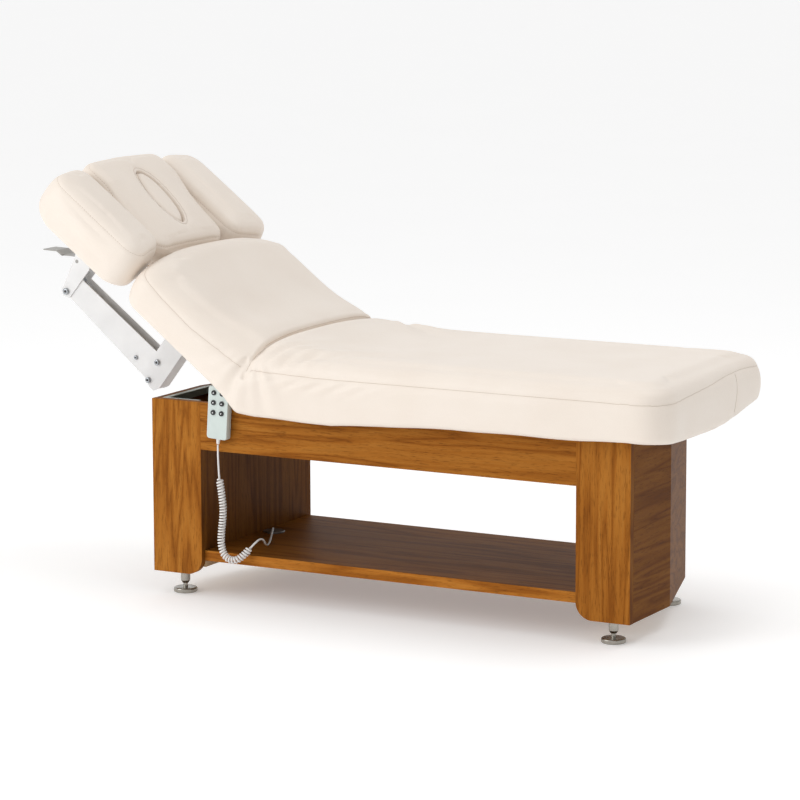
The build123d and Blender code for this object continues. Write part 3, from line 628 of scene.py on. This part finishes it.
def place_back(points):
    """Back section: first coordinate u towards the head, then y, then w up from the hinge plane."""
    u, y, w = points[:, 0], points[:, 1], points[:, 2]
    x = BACK_HINGE_X - u * math.cos(BACK_ANGLE) + w * math.sin(BACK_ANGLE)
    z = HINGE_Z + u * math.sin(BACK_ANGLE) + w * math.cos(BACK_ANGLE)
    return np.stack([x, y, z], axis=1)


def to_back(points):
    """u, y and w of frame points."""
    dx, dz = points[:, 0] - BACK_HINGE_X, points[:, 2] - HINGE_Z
    u = -dx * math.cos(BACK_ANGLE) + dz * math.sin(BACK_ANGLE)
    w = dx * math.sin(BACK_ANGLE) + dz * math.cos(BACK_ANGLE)
    return u, points[:, 1], w


def end_u(y, start):
    """Place along the back of a bowed end that starts there at its corners."""
    return start + END_BOW * (1 - np.abs(y / HALF_WIDTH) ** 3)


HINGE = np.array([BACK_HINGE_X, 0, HINGE_Z])
BACK_UP = np.array([math.sin(BACK_ANGLE), 0, math.cos(BACK_ANGLE)])
BACK_ALONG = np.array([-math.cos(BACK_ANGLE), 0, math.sin(BACK_ANGLE)])
FOLD = math.pi / 2 - BACK_ANGLE / 2
CREASE_UP = np.array([math.cos(FOLD), 0, math.sin(FOLD)])
CREASE_OUT = np.array([math.sin(FOLD), 0, -math.cos(FOLD)])   # from the crease plane towards the seat


CLOTH = {
    "quality": 4, "mass": 0.35, "tension_stiffness": 14, "compression_stiffness": 14, "shear_stiffness": 6,
    "bending_stiffness": 0.8, "use_pressure": True, "vertex_group_mass": "held",
}


def cloth_puff(obj, held, pressure, cap, frames=20):
    """Swells a cover by cloth simulation; held gives each point's pin weight, cap the furthest move."""
    before, out = coordinates(obj), normals(obj)
    group = obj.vertex_groups.new(name="held")
    for level in (1.0, 0.6, 0.3):
        picked = np.nonzero((held > level - 0.3) & (held <= level + 1e-9))[0]
        group.add([int(i) for i in picked], level, "REPLACE")
    mod = add_modifier(obj, "CLOTH")
    for key, value in CLOTH.items():
        setattr(mod.settings, key, value)
    mod.settings.uniform_pressure_force = pressure
    mod.settings.effector_weights.gravity = 0
    mod.collision_settings.use_collision = False
    mod.point_cache.frame_start = 1
    mod.point_cache.frame_end = frames
    scene = bpy.context.scene
    for step in range(1, frames + 1):
        scene.frame_set(step)
    mesh = evaluated_mesh(obj)
    after = np.array([v.co for v in mesh.vertices])
    bpy.data.meshes.remove(mesh)
    obj.modifiers.clear()
    obj.vertex_groups.clear()
    scene.frame_set(1)
    move = after - before
    move -= out * np.minimum((move * out).sum(axis=1), 0)[:, None]      # swells only, never shrinks
    far = np.linalg.norm(move, axis=1)
    move *= np.minimum(1, cap / np.maximum(far, 1e-9))[:, None]
    set_coordinates(obj, before + move)
    add_modifier(obj, "SMOOTH", factor=0.5, iterations=3)               # evens out small lumps
    return apply_modifiers(obj)


def remesh(obj, voxel, smooth):
    """Even mesh of small squares, its hard edges softened."""
    add_modifier(obj, "REMESH", mode="VOXEL", voxel_size=voxel, use_smooth_shade=True)
    add_modifier(obj, "SMOOTH", factor=0.5, iterations=smooth)
    return apply_modifiers(obj)


def subdivide(obj):
    add_modifier(obj, "SUBSURF", levels=1, render_levels=1)
    return apply_modifiers(obj)


def distance_to_line(points, line):
    """Distance from each point to the nearest of the line's points, found in chunks."""
    best = np.empty(len(points))
    for k in range(0, len(points), 4000):
        part = points[k:k + 4000]
        best[k:k + 4000] = np.sqrt(((part[:, None, :] - line[None, :, :]) ** 2).sum(axis=2).min(axis=1))
    return best


def press_seams(obj, lines, depth=0.0014, width=0.0035, pull=0.0018, reach=0.022):
    """Draws the cover in along its seams: a narrow groove in a wide soft pull."""
    co, out = coordinates(obj), normals(obj)
    lines = np.vstack(lines)
    low, high = lines.min(axis=0) - 0.06, lines.max(axis=0) + 0.06
    near = np.nonzero(((co > low) & (co < high)).all(axis=1))[0]
    d = distance_to_line(co[near], lines)
    push = depth * bell(d, width) + pull * bell(d, reach)
    co[near] -= out[near] * push[:, None]
    set_coordinates(obj, co)


def on_surface(obj, line, lift=0.0):
    """The line's points moved to the nearest spots of the surface."""
    tree = BVHTree.FromObject(obj, bpy.context.evaluated_depsgraph_get())
    made = []
    for p in line:
        spot, out, _, _ = tree.find_nearest(Vector(p))
        made.append(spot + out * lift)
    return np.array(made)


def seam_tube(obj, lines, closed, radius=0.0005):
    """Stitched seam lines, joined into the cover's own mesh."""
    tubes = []
    for k, line in enumerate(lines):
        spots = on_surface(obj, line, 0.0001)
        tube = tube_mesh(f"{obj.name}_seam_{k}", spots, radius, sides=6, closed=closed[k])
        tube.data.materials.append(MAT["seam"])
        tubes.append(tube)
    return join(obj, tubes)


def stitched_leather(cover, lines, closed):
    """Leather on the whole cover, and then its seams."""
    cover.data.materials.clear()
    cover.data.materials.append(MAT["leather"])
    seam_tube(cover, lines, closed)


def back_solid(name, outline, profile):
    """A solid given in the back's coordinates, which turn it inside out."""
    solid = ring_solid(name, outline, profile, place_back)
    solid.data.flip_normals()
    return solid


SKIRT_PROFILE = [
    (0.027, 0.024), (0.026, -0.006), (0.020, -0.015), (0.010, -0.017), (0.002, -0.010), (-0.001, 0.010),
    (-0.003, 0.035),
]
SEAT_PROFILE = SKIRT_PROFILE + [
    (-0.003, 0.060), (-0.0005, 0.078), (0.003, 0.090), (0.009, 0.101), (0.019, 0.110), (0.036, 0.1165),
    (0.070, 0.1205),
]
BACK_PROFILE = SKIRT_PROFILE + [
    (-0.003, 0.052), (-0.001, 0.066), (0.004, 0.078), (0.011, 0.088), (0.022, 0.096), (0.038, 0.103),
    (0.070, 0.110),
]
FOOT_END = LEG_HINGE_X - BACK_HINGE_X + 0.690


def back_outline():
    """Plan of the back section, open towards the crease, with small corners at its head end."""
    ys = np.linspace(-HALF_WIDTH, HALF_WIDTH, 181)
    corner = 0.032
    over = np.clip(np.abs(ys) - (HALF_WIDTH - corner), 0, corner)
    us = end_u(ys, BACK_END) - (corner - np.sqrt(np.maximum(corner ** 2 - over ** 2, 0)))
    near_edge, far_edge = (-0.10, -HALF_WIDTH), (-0.10, HALF_WIDTH)
    return resample(np.array([near_edge, *zip(us, ys), far_edge]), 0.012)


def seat_outline():
    """Plan of the seat and leg section, its foot end a little longer on the near side."""
    corners = [(-0.12, -HALF_WIDTH), (FOOT_END + 0.020, -HALF_WIDTH), (FOOT_END + 0.004, 0.0),
               (FOOT_END - 0.010, HALF_WIDTH), (-0.12, HALF_WIDTH)]
    return resample(rounded(corners, [0.001, 0.080, 0.30, 0.068, 0.001]), 0.012)


def head_ends(points, u):
    """How far a point of the back lies into its rounded head end, 0 to 1."""
    return smoothstep(0.33, 0.47, u - END_BOW * (1 - np.abs(points[:, 1] / HALF_WIDTH) ** 3) + 0.02)


def mattress_shape(co, out):
    """Crown, fold bulge, crease, gathers and hem of the finished mattress."""
    rel = co - HINGE
    x, across = rel[:, 0], co[:, 1]
    side = rel @ CREASE_OUT                     # above 0 on the seat
    height = rel @ CREASE_UP
    u, _, w_back = to_back(co)
    on_back = side < 0
    w = np.where(on_back, w_back, rel[:, 2])
    s = np.where(on_back, u, x)                 # distance from the hinge along either section
    up = np.where(on_back[:, None], BACK_UP, np.array([0.0, 0.0, 1.0]))
    edge = np.clip(1 - np.abs(across / HALF_WIDTH) ** 2.4, 0, 1)
    top = smoothstep(0.075, 0.108, w)
    head_gap = end_u(across, BACK_END) - u

    # crown across and towards both ends
    foot = np.sin(np.clip((FOOT_END - x) / 0.16, 0, 1) * math.pi / 2)
    brow = np.clip(1 - np.abs(across / 0.33) ** 3, 0, 1) * bell(head_gap - 0.012, 0.045)
    crown = np.where(on_back, 0.010 * edge + 0.013 * brow, 0.003 * edge * foot)
    co = co + up * (crown * top)[:, None]

    # the fold pushes the padding up along the crease
    bulge_edge = np.clip(1 - np.abs(across / 0.362) ** 4, 0, 1)
    fall = np.where(on_back, 0.105, 0.150)
    most = np.where(on_back, 0.043, 0.036 - 0.012 * smoothstep(0.0, 0.30, across))
    bulge = most * bulge_edge * bell(side, fall)
    co = co + CREASE_UP * (bulge * smoothstep(0.050, 0.100, height))[:, None]

    # the crease itself: steep on the back's side, a roll on the seat's side
    wide = np.where(on_back, 0.006, 0.016)
    fade = 1 - 0.45 * smoothstep(0.05, 0.34, across)
    nip = np.exp(-((np.abs(side) / wide) ** 1.3)) * fade
    co = co - CREASE_UP * (0.021 * nip * smoothstep(0.060, 0.088, height))[:, None]
    roll = bell(side - 0.034, 0.022) * np.where(on_back, 0, 1)
    co = co + CREASE_UP * (0.004 * roll * top * bulge_edge)[:, None]

    # gathers fanning down the sides from the ends of the crease
    face = smoothstep(0.30, 0.80, np.abs(out[:, 1])) * np.sign(across)
    fan = np.arctan2(side, np.maximum(0.128 - height, 0.012) + 0.025)
    near_fold = bell(side, 0.115) * smoothstep(-0.035, 0.02, height) * (1 - smoothstep(0.100, 0.125, height))
    pleats = 0.55 * np.sin(fan * 8.5 + 0.6) + 0.35 * np.sin(fan * 15 + 1.9)
    pinch = -bell(side, 0.011) * smoothstep(0.030, 0.090, height)
    co[:, 1] += (0.0058 * pleats * near_fold + 0.008 * pinch * near_fold) * face

    # soft diagonal folds on the seat, running out from each end of the crease
    seat_only = np.where(on_back, 0, 1) * smoothstep(0.0, 0.03, side)
    for sign in (-1, 1):
        dx = x - 0.045
        dy = HALF_WIDTH + 0.02 - sign * across
        radius = np.hypot(dx, dy)
        angle = np.arctan2(dy, dx)
        wave = np.sin(angle * 13 + 0.7 + sign) * 0.65 + np.sin(angle * 22 + 2.1) * 0.35
        reach = smoothstep(0.03, 0.10, radius) * bell(radius, 0.30)
        low = smoothstep(0.02, 0.10, angle) * (1 - smoothstep(0.75, 1.25, angle))
        co = co + up * (0.0062 * wave * reach * low * seat_only * smoothstep(0.078, 0.096, w))[:, None]

    # finer pulls beside the seat's seam: across its top, and slanting down its sides
    edge_gap = HALF_WIDTH - np.abs(across)
    over_top = np.sin(2 * math.pi * (0.90 * x - 0.44 * edge_gap) / 0.042 + 0.4)
    near_edge = bell(x - 0.15, 0.10) * bell(edge_gap - 0.045, 0.050)
    pulls = np.where(across < 0, 0.0032, 0.0010) * over_top * near_edge * seat_only
    co = co + up * (pulls * smoothstep(0.078, 0.100, w))[:, None]
    down_side = np.sin(2 * math.pi * (0.45 * x - 0.89 * w) / 0.031)
    below_seam = bell(x - 0.24, 0.14) * bell(w - 0.058, 0.018)
    co[:, 1] += 0.0024 * down_side * below_seam * seat_only * face

    # faint slack on the long sides, and the hem's uneven hang
    slack = np.sin(s * 11 + 0.8) * 0.5 + np.sin(s * 23 + 2.0) * 0.3
    co[:, 1] += 0.0012 * slack * face * smoothstep(0.0, 0.04, w) * (1 - smoothstep(0.055, 0.075, w))
    hang = np.interp(x, [-0.05, 0.05, 0.277, 0.42, 0.625, 0.98, 1.1],
                     [-0.008, -0.020, -0.026, -0.016, -0.008, -0.007, -0.001])
    hang = hang + 0.0008 * np.sin(x * 27 + np.sign(across))
    low_edge = (1 - smoothstep(-0.004, 0.045, w)) * np.where(on_back, bell(side, 0.05), 1)
    outer = smoothstep(HALF_WIDTH - 0.034, HALF_WIDTH - 0.024, np.abs(across))
    at_foot = smoothstep(FOOT_END - 0.10, FOOT_END - 0.035, x)
    co[:, 2] += hang * low_edge * outer * (1 - at_foot)
    rise = np.interp(across, [-0.35, -0.28, -0.15, 0.0, 0.073, 0.148, 0.225, 0.28, 0.35],
                     [-0.002, -0.006, -0.011, -0.014, -0.011, -0.003, 0.008, 0.015, 0.018])
    co[:, 2] += rise * low_edge * at_foot

    # the back's head end leans in towards its underside
    tip = head_ends(co, u) * on_back
    tuck = (1 - smoothstep(-0.02, 0.030, w)) * tip ** 2 * 0.008
    co = co - BACK_ALONG * tuck[:, None]
    return co


def crease_line(cover):
    """The bottom of the crease, found from above."""
    tree = BVHTree.FromObject(cover, bpy.context.evaluated_depsgraph_get())
    made = []
    for y in np.linspace(-0.338, 0.320, 150):
        start = HINGE + np.array([0, y, 0]) + CREASE_UP * 0.30
        spot, _, _, _ = tree.ray_cast(Vector(start), Vector(-CREASE_UP))
        made.append(spot)
    return np.array(made)


def mattress_seam():
    """Seam line round the back and round the seat and legs, each from crease to crease."""
    outline = back_outline()
    keep = outline[outline[:, 0] > 0.026]
    keep = keep[np.argsort(np.arctan2(keep[:, 1], keep[:, 0] - 0.05))]
    w = np.interp(keep[:, 0], [0.02, 0.12, 0.22, 0.33, 0.42, 0.47],
                  [0.086, 0.074, 0.064, 0.068, 0.078, 0.084])
    back = place_back(np.column_stack([keep - outward(keep) * 0.002, w]))
    outline = seat_outline()
    keep = outline[outline[:, 0] > 0.016]
    keep = keep[np.argsort(np.arctan2(keep[:, 1], keep[:, 0] - 0.04))]
    w = np.interp(keep[:, 0], [0.01, 0.12, 0.25, 1.2], [0.090, 0.084, 0.080, 0.080])
    end_w = np.interp(keep[:, 1], [-0.35, -0.30, -0.035, 0.085, 0.18, 0.28, 0.35],
                      [0.080, 0.080, 0.091, 0.102, 0.105, 0.097, 0.088])
    w = w + (end_w - w) * smoothstep(FOOT_END - 0.16, FOOT_END - 0.02, keep[:, 0])
    seat = place_seat(np.column_stack([keep, w]))
    drop = np.linspace(0.100, -0.006, 28)
    across = np.interp(drop, [-0.02, 0.047, 0.105], [0.119, 0.133, 0.137])
    upright = np.column_stack([np.full(28, FOOT_END), across, drop])
    return [even(line[1:-1], 0.004) for line in (back, seat, place_seat(upright))]


def make_mattress():
    """Both sections meet at the crease and are worked as one, then split in the middle of the seat."""
    seat = ring_solid("mattress", seat_outline(), SEAT_PROFILE, place_seat)
    back = back_solid("mattress_back", back_outline(), BACK_PROFILE)
    overlap = 0.004
    cut(seat, HINGE - overlap * CREASE_OUT, -CREASE_OUT)
    cut(back, HINGE + overlap * CREASE_OUT, CREASE_OUT)
    cover = join(seat, [back])
    remesh(cover, 0.0075, 6)
    co = coordinates(cover)
    _, _, w = to_back(co)
    rel = co - HINGE
    w = np.where(rel @ CREASE_OUT < 0, w, rel[:, 2])
    held = 1 - smoothstep(0.015, 0.04, w)
    cloth_puff(cover, held, 3.0, 0.007)
    subdivide(cover)
    set_coordinates(cover, mattress_shape(coordinates(cover), normals(cover)))
    add_modifier(cover, "SMOOTH", factor=0.4, iterations=2)
    apply_modifiers(cover)
    lines = [on_surface(cover, line) for line in mattress_seam()]
    press_seams(cover, lines)
    # the crease's bottom also gets the darker thread line, partly painted shade in the crease
    stitched_leather(cover, lines + [crease_line(cover)], [False] * 4)
    foot = duplicate(cover, "leg_mattress_cover")
    cover.name = "back_mattress_cover"
    cut(cover, (CUT_X, 0, HINGE_Z), (1, 0, 0))
    cut(foot, (CUT_X, 0, HINGE_Z), (-1, 0, 0))
    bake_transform(cover)
    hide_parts("back_cushion", "seat_cushion")
    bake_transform(foot)
    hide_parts("leg_cushion")


SIDE_PROFILE = [
    (0.034, 0.006), (0.026, -0.008), (0.016, -0.018), (0.006, -0.018), (-0.001, -0.006), (-0.003, 0.020),
    (-0.003, 0.055), (-0.001, 0.082), (0.003, 0.095), (0.010, 0.105), (0.026, 0.112),
]
CENTRE_PROFILE = [
    (0.034, 0.006), (0.014, 0.006), (0.003, 0.011), (0.000, 0.030), (-0.0015, 0.070), (0.000, 0.094),
    (0.005, 0.104), (0.018, 0.110),
]
PLUG_PROFILE = [
    (0.020, 0.006), (0.005, 0.006), (0.001, 0.010), (0.000, 0.030), (0.000, 0.098), (0.0015, 0.1045),
    (0.006, 0.1085), (0.018, 0.1105),
]
HEAD_SIDE = 15              # points along each end of a head cushion's plan
HEAD_CORNERS = (0, HEAD_SIDE - 1, HEAD_SIDE, 2 * HEAD_SIDE - 1)


def head_end_u(y):
    """Place along the back of the head cushions' head end."""
    return HEAD_END - 0.026 * (y / HALF_WIDTH) ** 2


def head_outline(y_low, y_high, radii):
    """Plan of a head cushion with arcs at both ends; radii for its four corners."""
    ys = np.linspace(y_low, y_high, HEAD_SIDE)
    step = abs(y_high - y_low) / (HEAD_SIDE - 1)
    points = [(end_u(y, HEAD_START), y) for y in ys] + [(head_end_u(y), y) for y in ys[::-1]]
    kept, sizes = [], []
    for i, point in enumerate(points):
        away, corner = min((abs(i - j), k) for k, j in enumerate(HEAD_CORNERS))
        if away and away < 7 and away * step < radii[corner] * 1.25:
            continue                # room for the corner's arc
        kept.append(point)
        sizes.append(0.0008 if away else radii[corner])
    outline = resample(rounded(kept, sizes, 8), 0.008)
    u, y = outline.T
    area = 0.5 * np.sum(u * np.roll(y, -1) - np.roll(u, -1) * y)
    return outline if area > 0 else outline[::-1]


def cushion_crown(obj, middle, half, rise, floor_w=0.0055):
    """Domes the top, and keeps the underside off the head board."""
    co = coordinates(obj)
    u, y, w = to_back(co)
    along = np.clip(1 - np.abs((u - 0.625) / 0.190) ** 2.6, 0, 1)
    across = np.clip(1 - np.abs((y - middle) / half) ** 2.2, 0, 1)
    lift = rise * along * across * smoothstep(0.070, 0.105, w)
    inner = (np.abs(y) < 0.3215) & (u > 0.468) & (u < 0.770)
    lift = np.where(inner & (w < floor_w), floor_w - w, lift)
    set_coordinates(obj, co + BACK_UP * lift[:, None])


def head_seams(outline, inset, w):
    ring = outline - outward(outline) * inset
    return place_back(np.column_stack([ring, np.full(len(ring), w)]))


def centre_drop(u, y):
    """How far the centre cushion's top lies below its head end's level."""
    t = np.clip((0.712 - u) / 0.228, 0, 1)
    side = smoothstep(0.09, 0.176, np.abs(y))
    rise = 0.007 * smoothstep(0.62, 0.74, u)
    return 0.022 * t ** 2 * (1 - side) + 0.025 * np.sin(np.clip(t / 0.8, 0, 1) * math.pi / 2) * side - rise


def under_rounding(w, radius, bottom=-0.018):
    """How far the surface leans in where an end of this radius rounds over towards the underside."""
    depth = np.clip(radius - (w - bottom), 0, radius)
    return radius - np.sqrt(radius ** 2 - depth ** 2)


def make_side_cushion(name, node, sign):
    outline = head_outline(0.184, HALF_WIDTH - 0.001, [0.045, 0.050, 0.060, 0.045])
    outline[:, 1] *= sign
    if sign < 0:
        outline = outline[::-1]
    cushion = back_solid(name, outline, SIDE_PROFILE)
    remesh(cushion, 0.005, 6)
    _, _, w = to_back(coordinates(cushion))
    cloth_puff(cushion, 1 - smoothstep(0.005, 0.03, w), 3.0, 0.006)
    subdivide(cushion)
    cushion_crown(cushion, sign * 0.267, 0.095, 0.006)
    co = coordinates(cushion)
    u, y, w = to_back(co)
    # both ends round over towards the underside
    head_edge, foot_edge = head_end_u(y), end_u(y, HEAD_START)
    at_head = smoothstep(head_edge - 0.10, head_edge - 0.02, u)
    at_foot = 1 - smoothstep(foot_edge + 0.02, foot_edge + 0.10, u)
    shift = under_rounding(w, 0.026) * at_foot - under_rounding(w, 0.045) * at_head
    set_coordinates(cushion, co + BACK_ALONG * shift[:, None])
    inset, level = (0.004, 0.0975) if sign < 0 else (0.000, 0.088)
    lines = [on_surface(cushion, head_seams(outline, inset, level))]
    press_seams(cushion, lines)
    stitched_leather(cushion, lines, [True])
    finish_cushion(cushion, node, "headrest")


def finish_cushion(cushion, node, body):
    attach(cushion, body)
    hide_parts(node)


def ellipse(length, width, spacing=0.006):
    angles = np.linspace(0, 2 * math.pi, 160, endpoint=False)
    ring = np.stack([PLUG_PLACE + length / 2 * np.cos(angles), width / 2 * np.sin(angles)], axis=1)
    return resample(ring, spacing)


def make_centre_cushion():
    outline = head_outline(-CENTRE_HALF, CENTRE_HALF, [0.055, 0.055, 0.040, 0.040])
    cushion = back_solid("centre_head_cover", outline, CENTRE_PROFILE)
    tool = back_solid("hole_tool", ellipse(0.193, 0.087), [(0, -0.05), (0, 0.2)])
    add_modifier(cushion, "BOOLEAN", operation="DIFFERENCE", object=tool, solver="EXACT")
    apply_modifiers(cushion)
    bpy.data.objects.remove(tool)
    remesh(cushion, 0.0045, 4)
    _, _, w = to_back(coordinates(cushion))
    cloth_puff(cushion, 1 - smoothstep(0.010, 0.04, w), 2.0, 0.003)
    subdivide(cushion)
    cushion_crown(cushion, 0.0, 0.195, 0.007)
    co = coordinates(cushion)
    u, y, w = to_back(co)
    set_coordinates(cushion, co - BACK_UP * (centre_drop(u, y) * smoothstep(0.045, 0.095, w))[:, None])
    edge = outline - outward(outline) * 0.006
    ring = place_back(np.column_stack([edge, 0.100 - centre_drop(edge[:, 0], edge[:, 1])]))
    around = ellipse(0.209, 0.103, 0.004)
    oval = place_back(np.column_stack([around, 0.113 - centre_drop(around[:, 0], around[:, 1])]))
    lines = [on_surface(cushion, ring), on_surface(cushion, oval)]
    press_seams(cushion, lines, depth=0.0018, pull=0.0012, reach=0.012)
    stitched_leather(cushion, lines, [True, True])
    finish_cushion(cushion, "centre_head_cushion", "headrest")


def make_plug():
    plug = back_solid("face_plug_cover", ellipse(0.1895, 0.0835, 0.004), PLUG_PROFILE)
    remesh(plug, 0.0035, 3)
    subdivide(plug)
    co = coordinates(plug)
    u, y, w = to_back(co)
    dome = np.clip(1 - ((u - PLUG_PLACE) / 0.095) ** 2 - (y / 0.042) ** 2, 0, 1)
    lift = 0.006 * dome ** 0.7 * smoothstep(0.09, 0.107, w)
    lift = lift - centre_drop(u, 0 * y) * smoothstep(0.03, 0.09, w)
    set_coordinates(plug, co + BACK_UP * lift[:, None])
    ring = ellipse(0.182, 0.076, 0.004)
    ring = np.column_stack([ring, 0.110 - centre_drop(ring[:, 0], 0 * ring[:, 1])])
    lines = [on_surface(plug, place_back(ring))]
    press_seams(plug, lines, depth=0.0010, pull=0.0006, reach=0.008)
    stitched_leather(plug, lines, [True])
    finish_cushion(plug, "face_hole_plug", "face_hole_plug")


# ---------------------------------------------------------------- screw heads and button marks

SCREW_RINGS = [         # share of the radius, and height, from the socket's middle to the rim
    (0.0, 0.0001), (0.42, 0.0001), (0.45, 0.0016), (0.56, 0.0022), (0.82, 0.0015), (0.98, 0.0004),
    (1.0, -0.0006),
]
SCREWS = [              # place along the back, height from it, distance from the middle plane, radius
    (0.367, -0.246, 0.030, 0.008), (0.360, -0.304, 0.030, 0.008), (0.705, -0.284, 0.0305, 0.009),
    (0.428, -0.283, 0.024, 0.006),
]


def screw_head(name, u, w, y, radius, body):
    """Domed head with a socket, on the plain head whose outer face lies at y."""
    sign, sides = math.copysign(1, y), 24
    verts = []
    for k, (share, height) in enumerate(SCREW_RINGS):
        for i in range(sides):
            angle = 2 * math.pi * i / sides
            reach = share * radius
            if k in (1, 2):         # the socket's six flats
                sixth = math.pi / 6
                reach *= math.cos(sixth) / math.cos((angle + sixth) % (math.pi / 3) - sixth)
            verts.append((u + reach * math.cos(angle), y + sign * height, w + reach * math.sin(angle)))
    head = mesh_object(name, place_back(np.array(verts)), ring_faces(len(SCREW_RINGS), sides))
    if sign < 0:
        head.data.flip_normals()
    head.data.materials.append(MAT["chrome"])
    head.data.materials.append(MAT["socket"])
    for face in head.data.polygons:
        if face.index < sides:
            face.material_index = 1
    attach(head, body)


def button_mark(index):
    """Small printed arrow on a button, pointing up on odd buttons and down on even ones."""
    low, high = (np.array(v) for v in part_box(f"button_{index}"))
    middle, front = (low + high) / 2, low[1]
    point = 0.0021 if index % 2 else -0.0021
    corners = [(0, point), (-0.0022, -point * 0.7), (0.0022, -point * 0.7)]
    if point > 0:
        corners.reverse()
    verts = [(middle[0] + x, front + y, middle[2] + z) for y in (-0.00015, 0.0003) for x, z in corners]
    faces = [(2, 1, 0), (3, 4, 5), (0, 1, 4, 3), (1, 2, 5, 4), (2, 0, 3, 5)]
    mark = mesh_object(f"button_mark_{index}", verts, faces, smooth=False)
    mark.data.materials.append(MAT["mark"])
    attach(mark, f"button_{index}")


for number, (u, w, y, radius) in enumerate(SCREWS, 1):
    screw_head(f"screw_head_{number}_near", u, w, -y, radius, "backrest")
    screw_head(f"screw_head_{number}_far", u, w, y, radius, "backrest")
for index in range(1, 7):
    button_mark(index)

make_mattress()
make_side_cushion("near_head_cover", "near_head_cushion", -1)
make_side_cushion("far_head_cover", "far_head_cushion", 1)
make_centre_cushion()
make_plug()


# ---------------------------------------------------------------- studio

def plane(name, size, place, material):
    half = size / 2
    obj = mesh_object(name, [(-half, -half, 0), (half, -half, 0), (half, half, 0), (-half, half, 0)],
                      [(0, 1, 2, 3)], smooth=False)
    obj.location = place
    obj.data.materials.append(material)
    return obj


def lamp(name, place, aim, size, power):
    data = bpy.data.lights.new(name, "AREA")
    data.shape = "RECTANGLE"
    data.size, data.size_y = size
    data.energy = power
    obj = link(bpy.data.objects.new(name, data))
    obj.location = place
    obj.rotation_euler = (Vector(aim) - Vector(place)).to_track_quat("-Z", "Y").to_euler()
    return obj


floor_look = Shader("studio_floor")
floor_tone = floor_look.noise(floor_look.place(), 1.5, 2.0)
floor_look.set(Base_Color=floor_look.mix(floor_tone, rgba(0.90, 0.90, 0.90), rgba(0.92, 0.92, 0.92)),
               Roughness=0.85, Emission_Color=rgba(1, 1, 1), Emission_Strength=0.24)
floor = plane("studio_floor_plane", 60, (0, 0, 0), floor_look.material)
lights = [
    lamp("key", (-3.4, -4.8, 2.6), (0, 0, 0.5), (3.0, 3.0), 96),
    lamp("top", (1.6, 0.2, 4.4), (-0.2, 0, 0.8), (3.0, 3.0), 46),
]
world = bpy.data.worlds.new("studio")
world.use_nodes = True
sky = world.node_tree
where, axes, falloff = (
    sky.nodes.new(kind) for kind in ("ShaderNodeTexCoord", "ShaderNodeSeparateXYZ", "ShaderNodeMapRange"))
# the light fades towards the foot of the bed
for socket, value in {"From Min": -0.1, "From Max": 0.9, "To Min": 0.86, "To Max": 0.44}.items():
    falloff.inputs[socket].default_value = value
sky.links.new(where.outputs["Generated"], axes.inputs["Vector"])
sky.links.new(axes.outputs["X"], falloff.inputs["Value"])
sky.links.new(falloff.outputs["Result"], sky.nodes["Background"].inputs["Strength"])
sky.nodes["Background"].inputs["Color"].default_value = (1, 1, 1, 1)
bpy.context.scene.view_settings.view_transform = "Standard"
bpy.context.scene.world = world
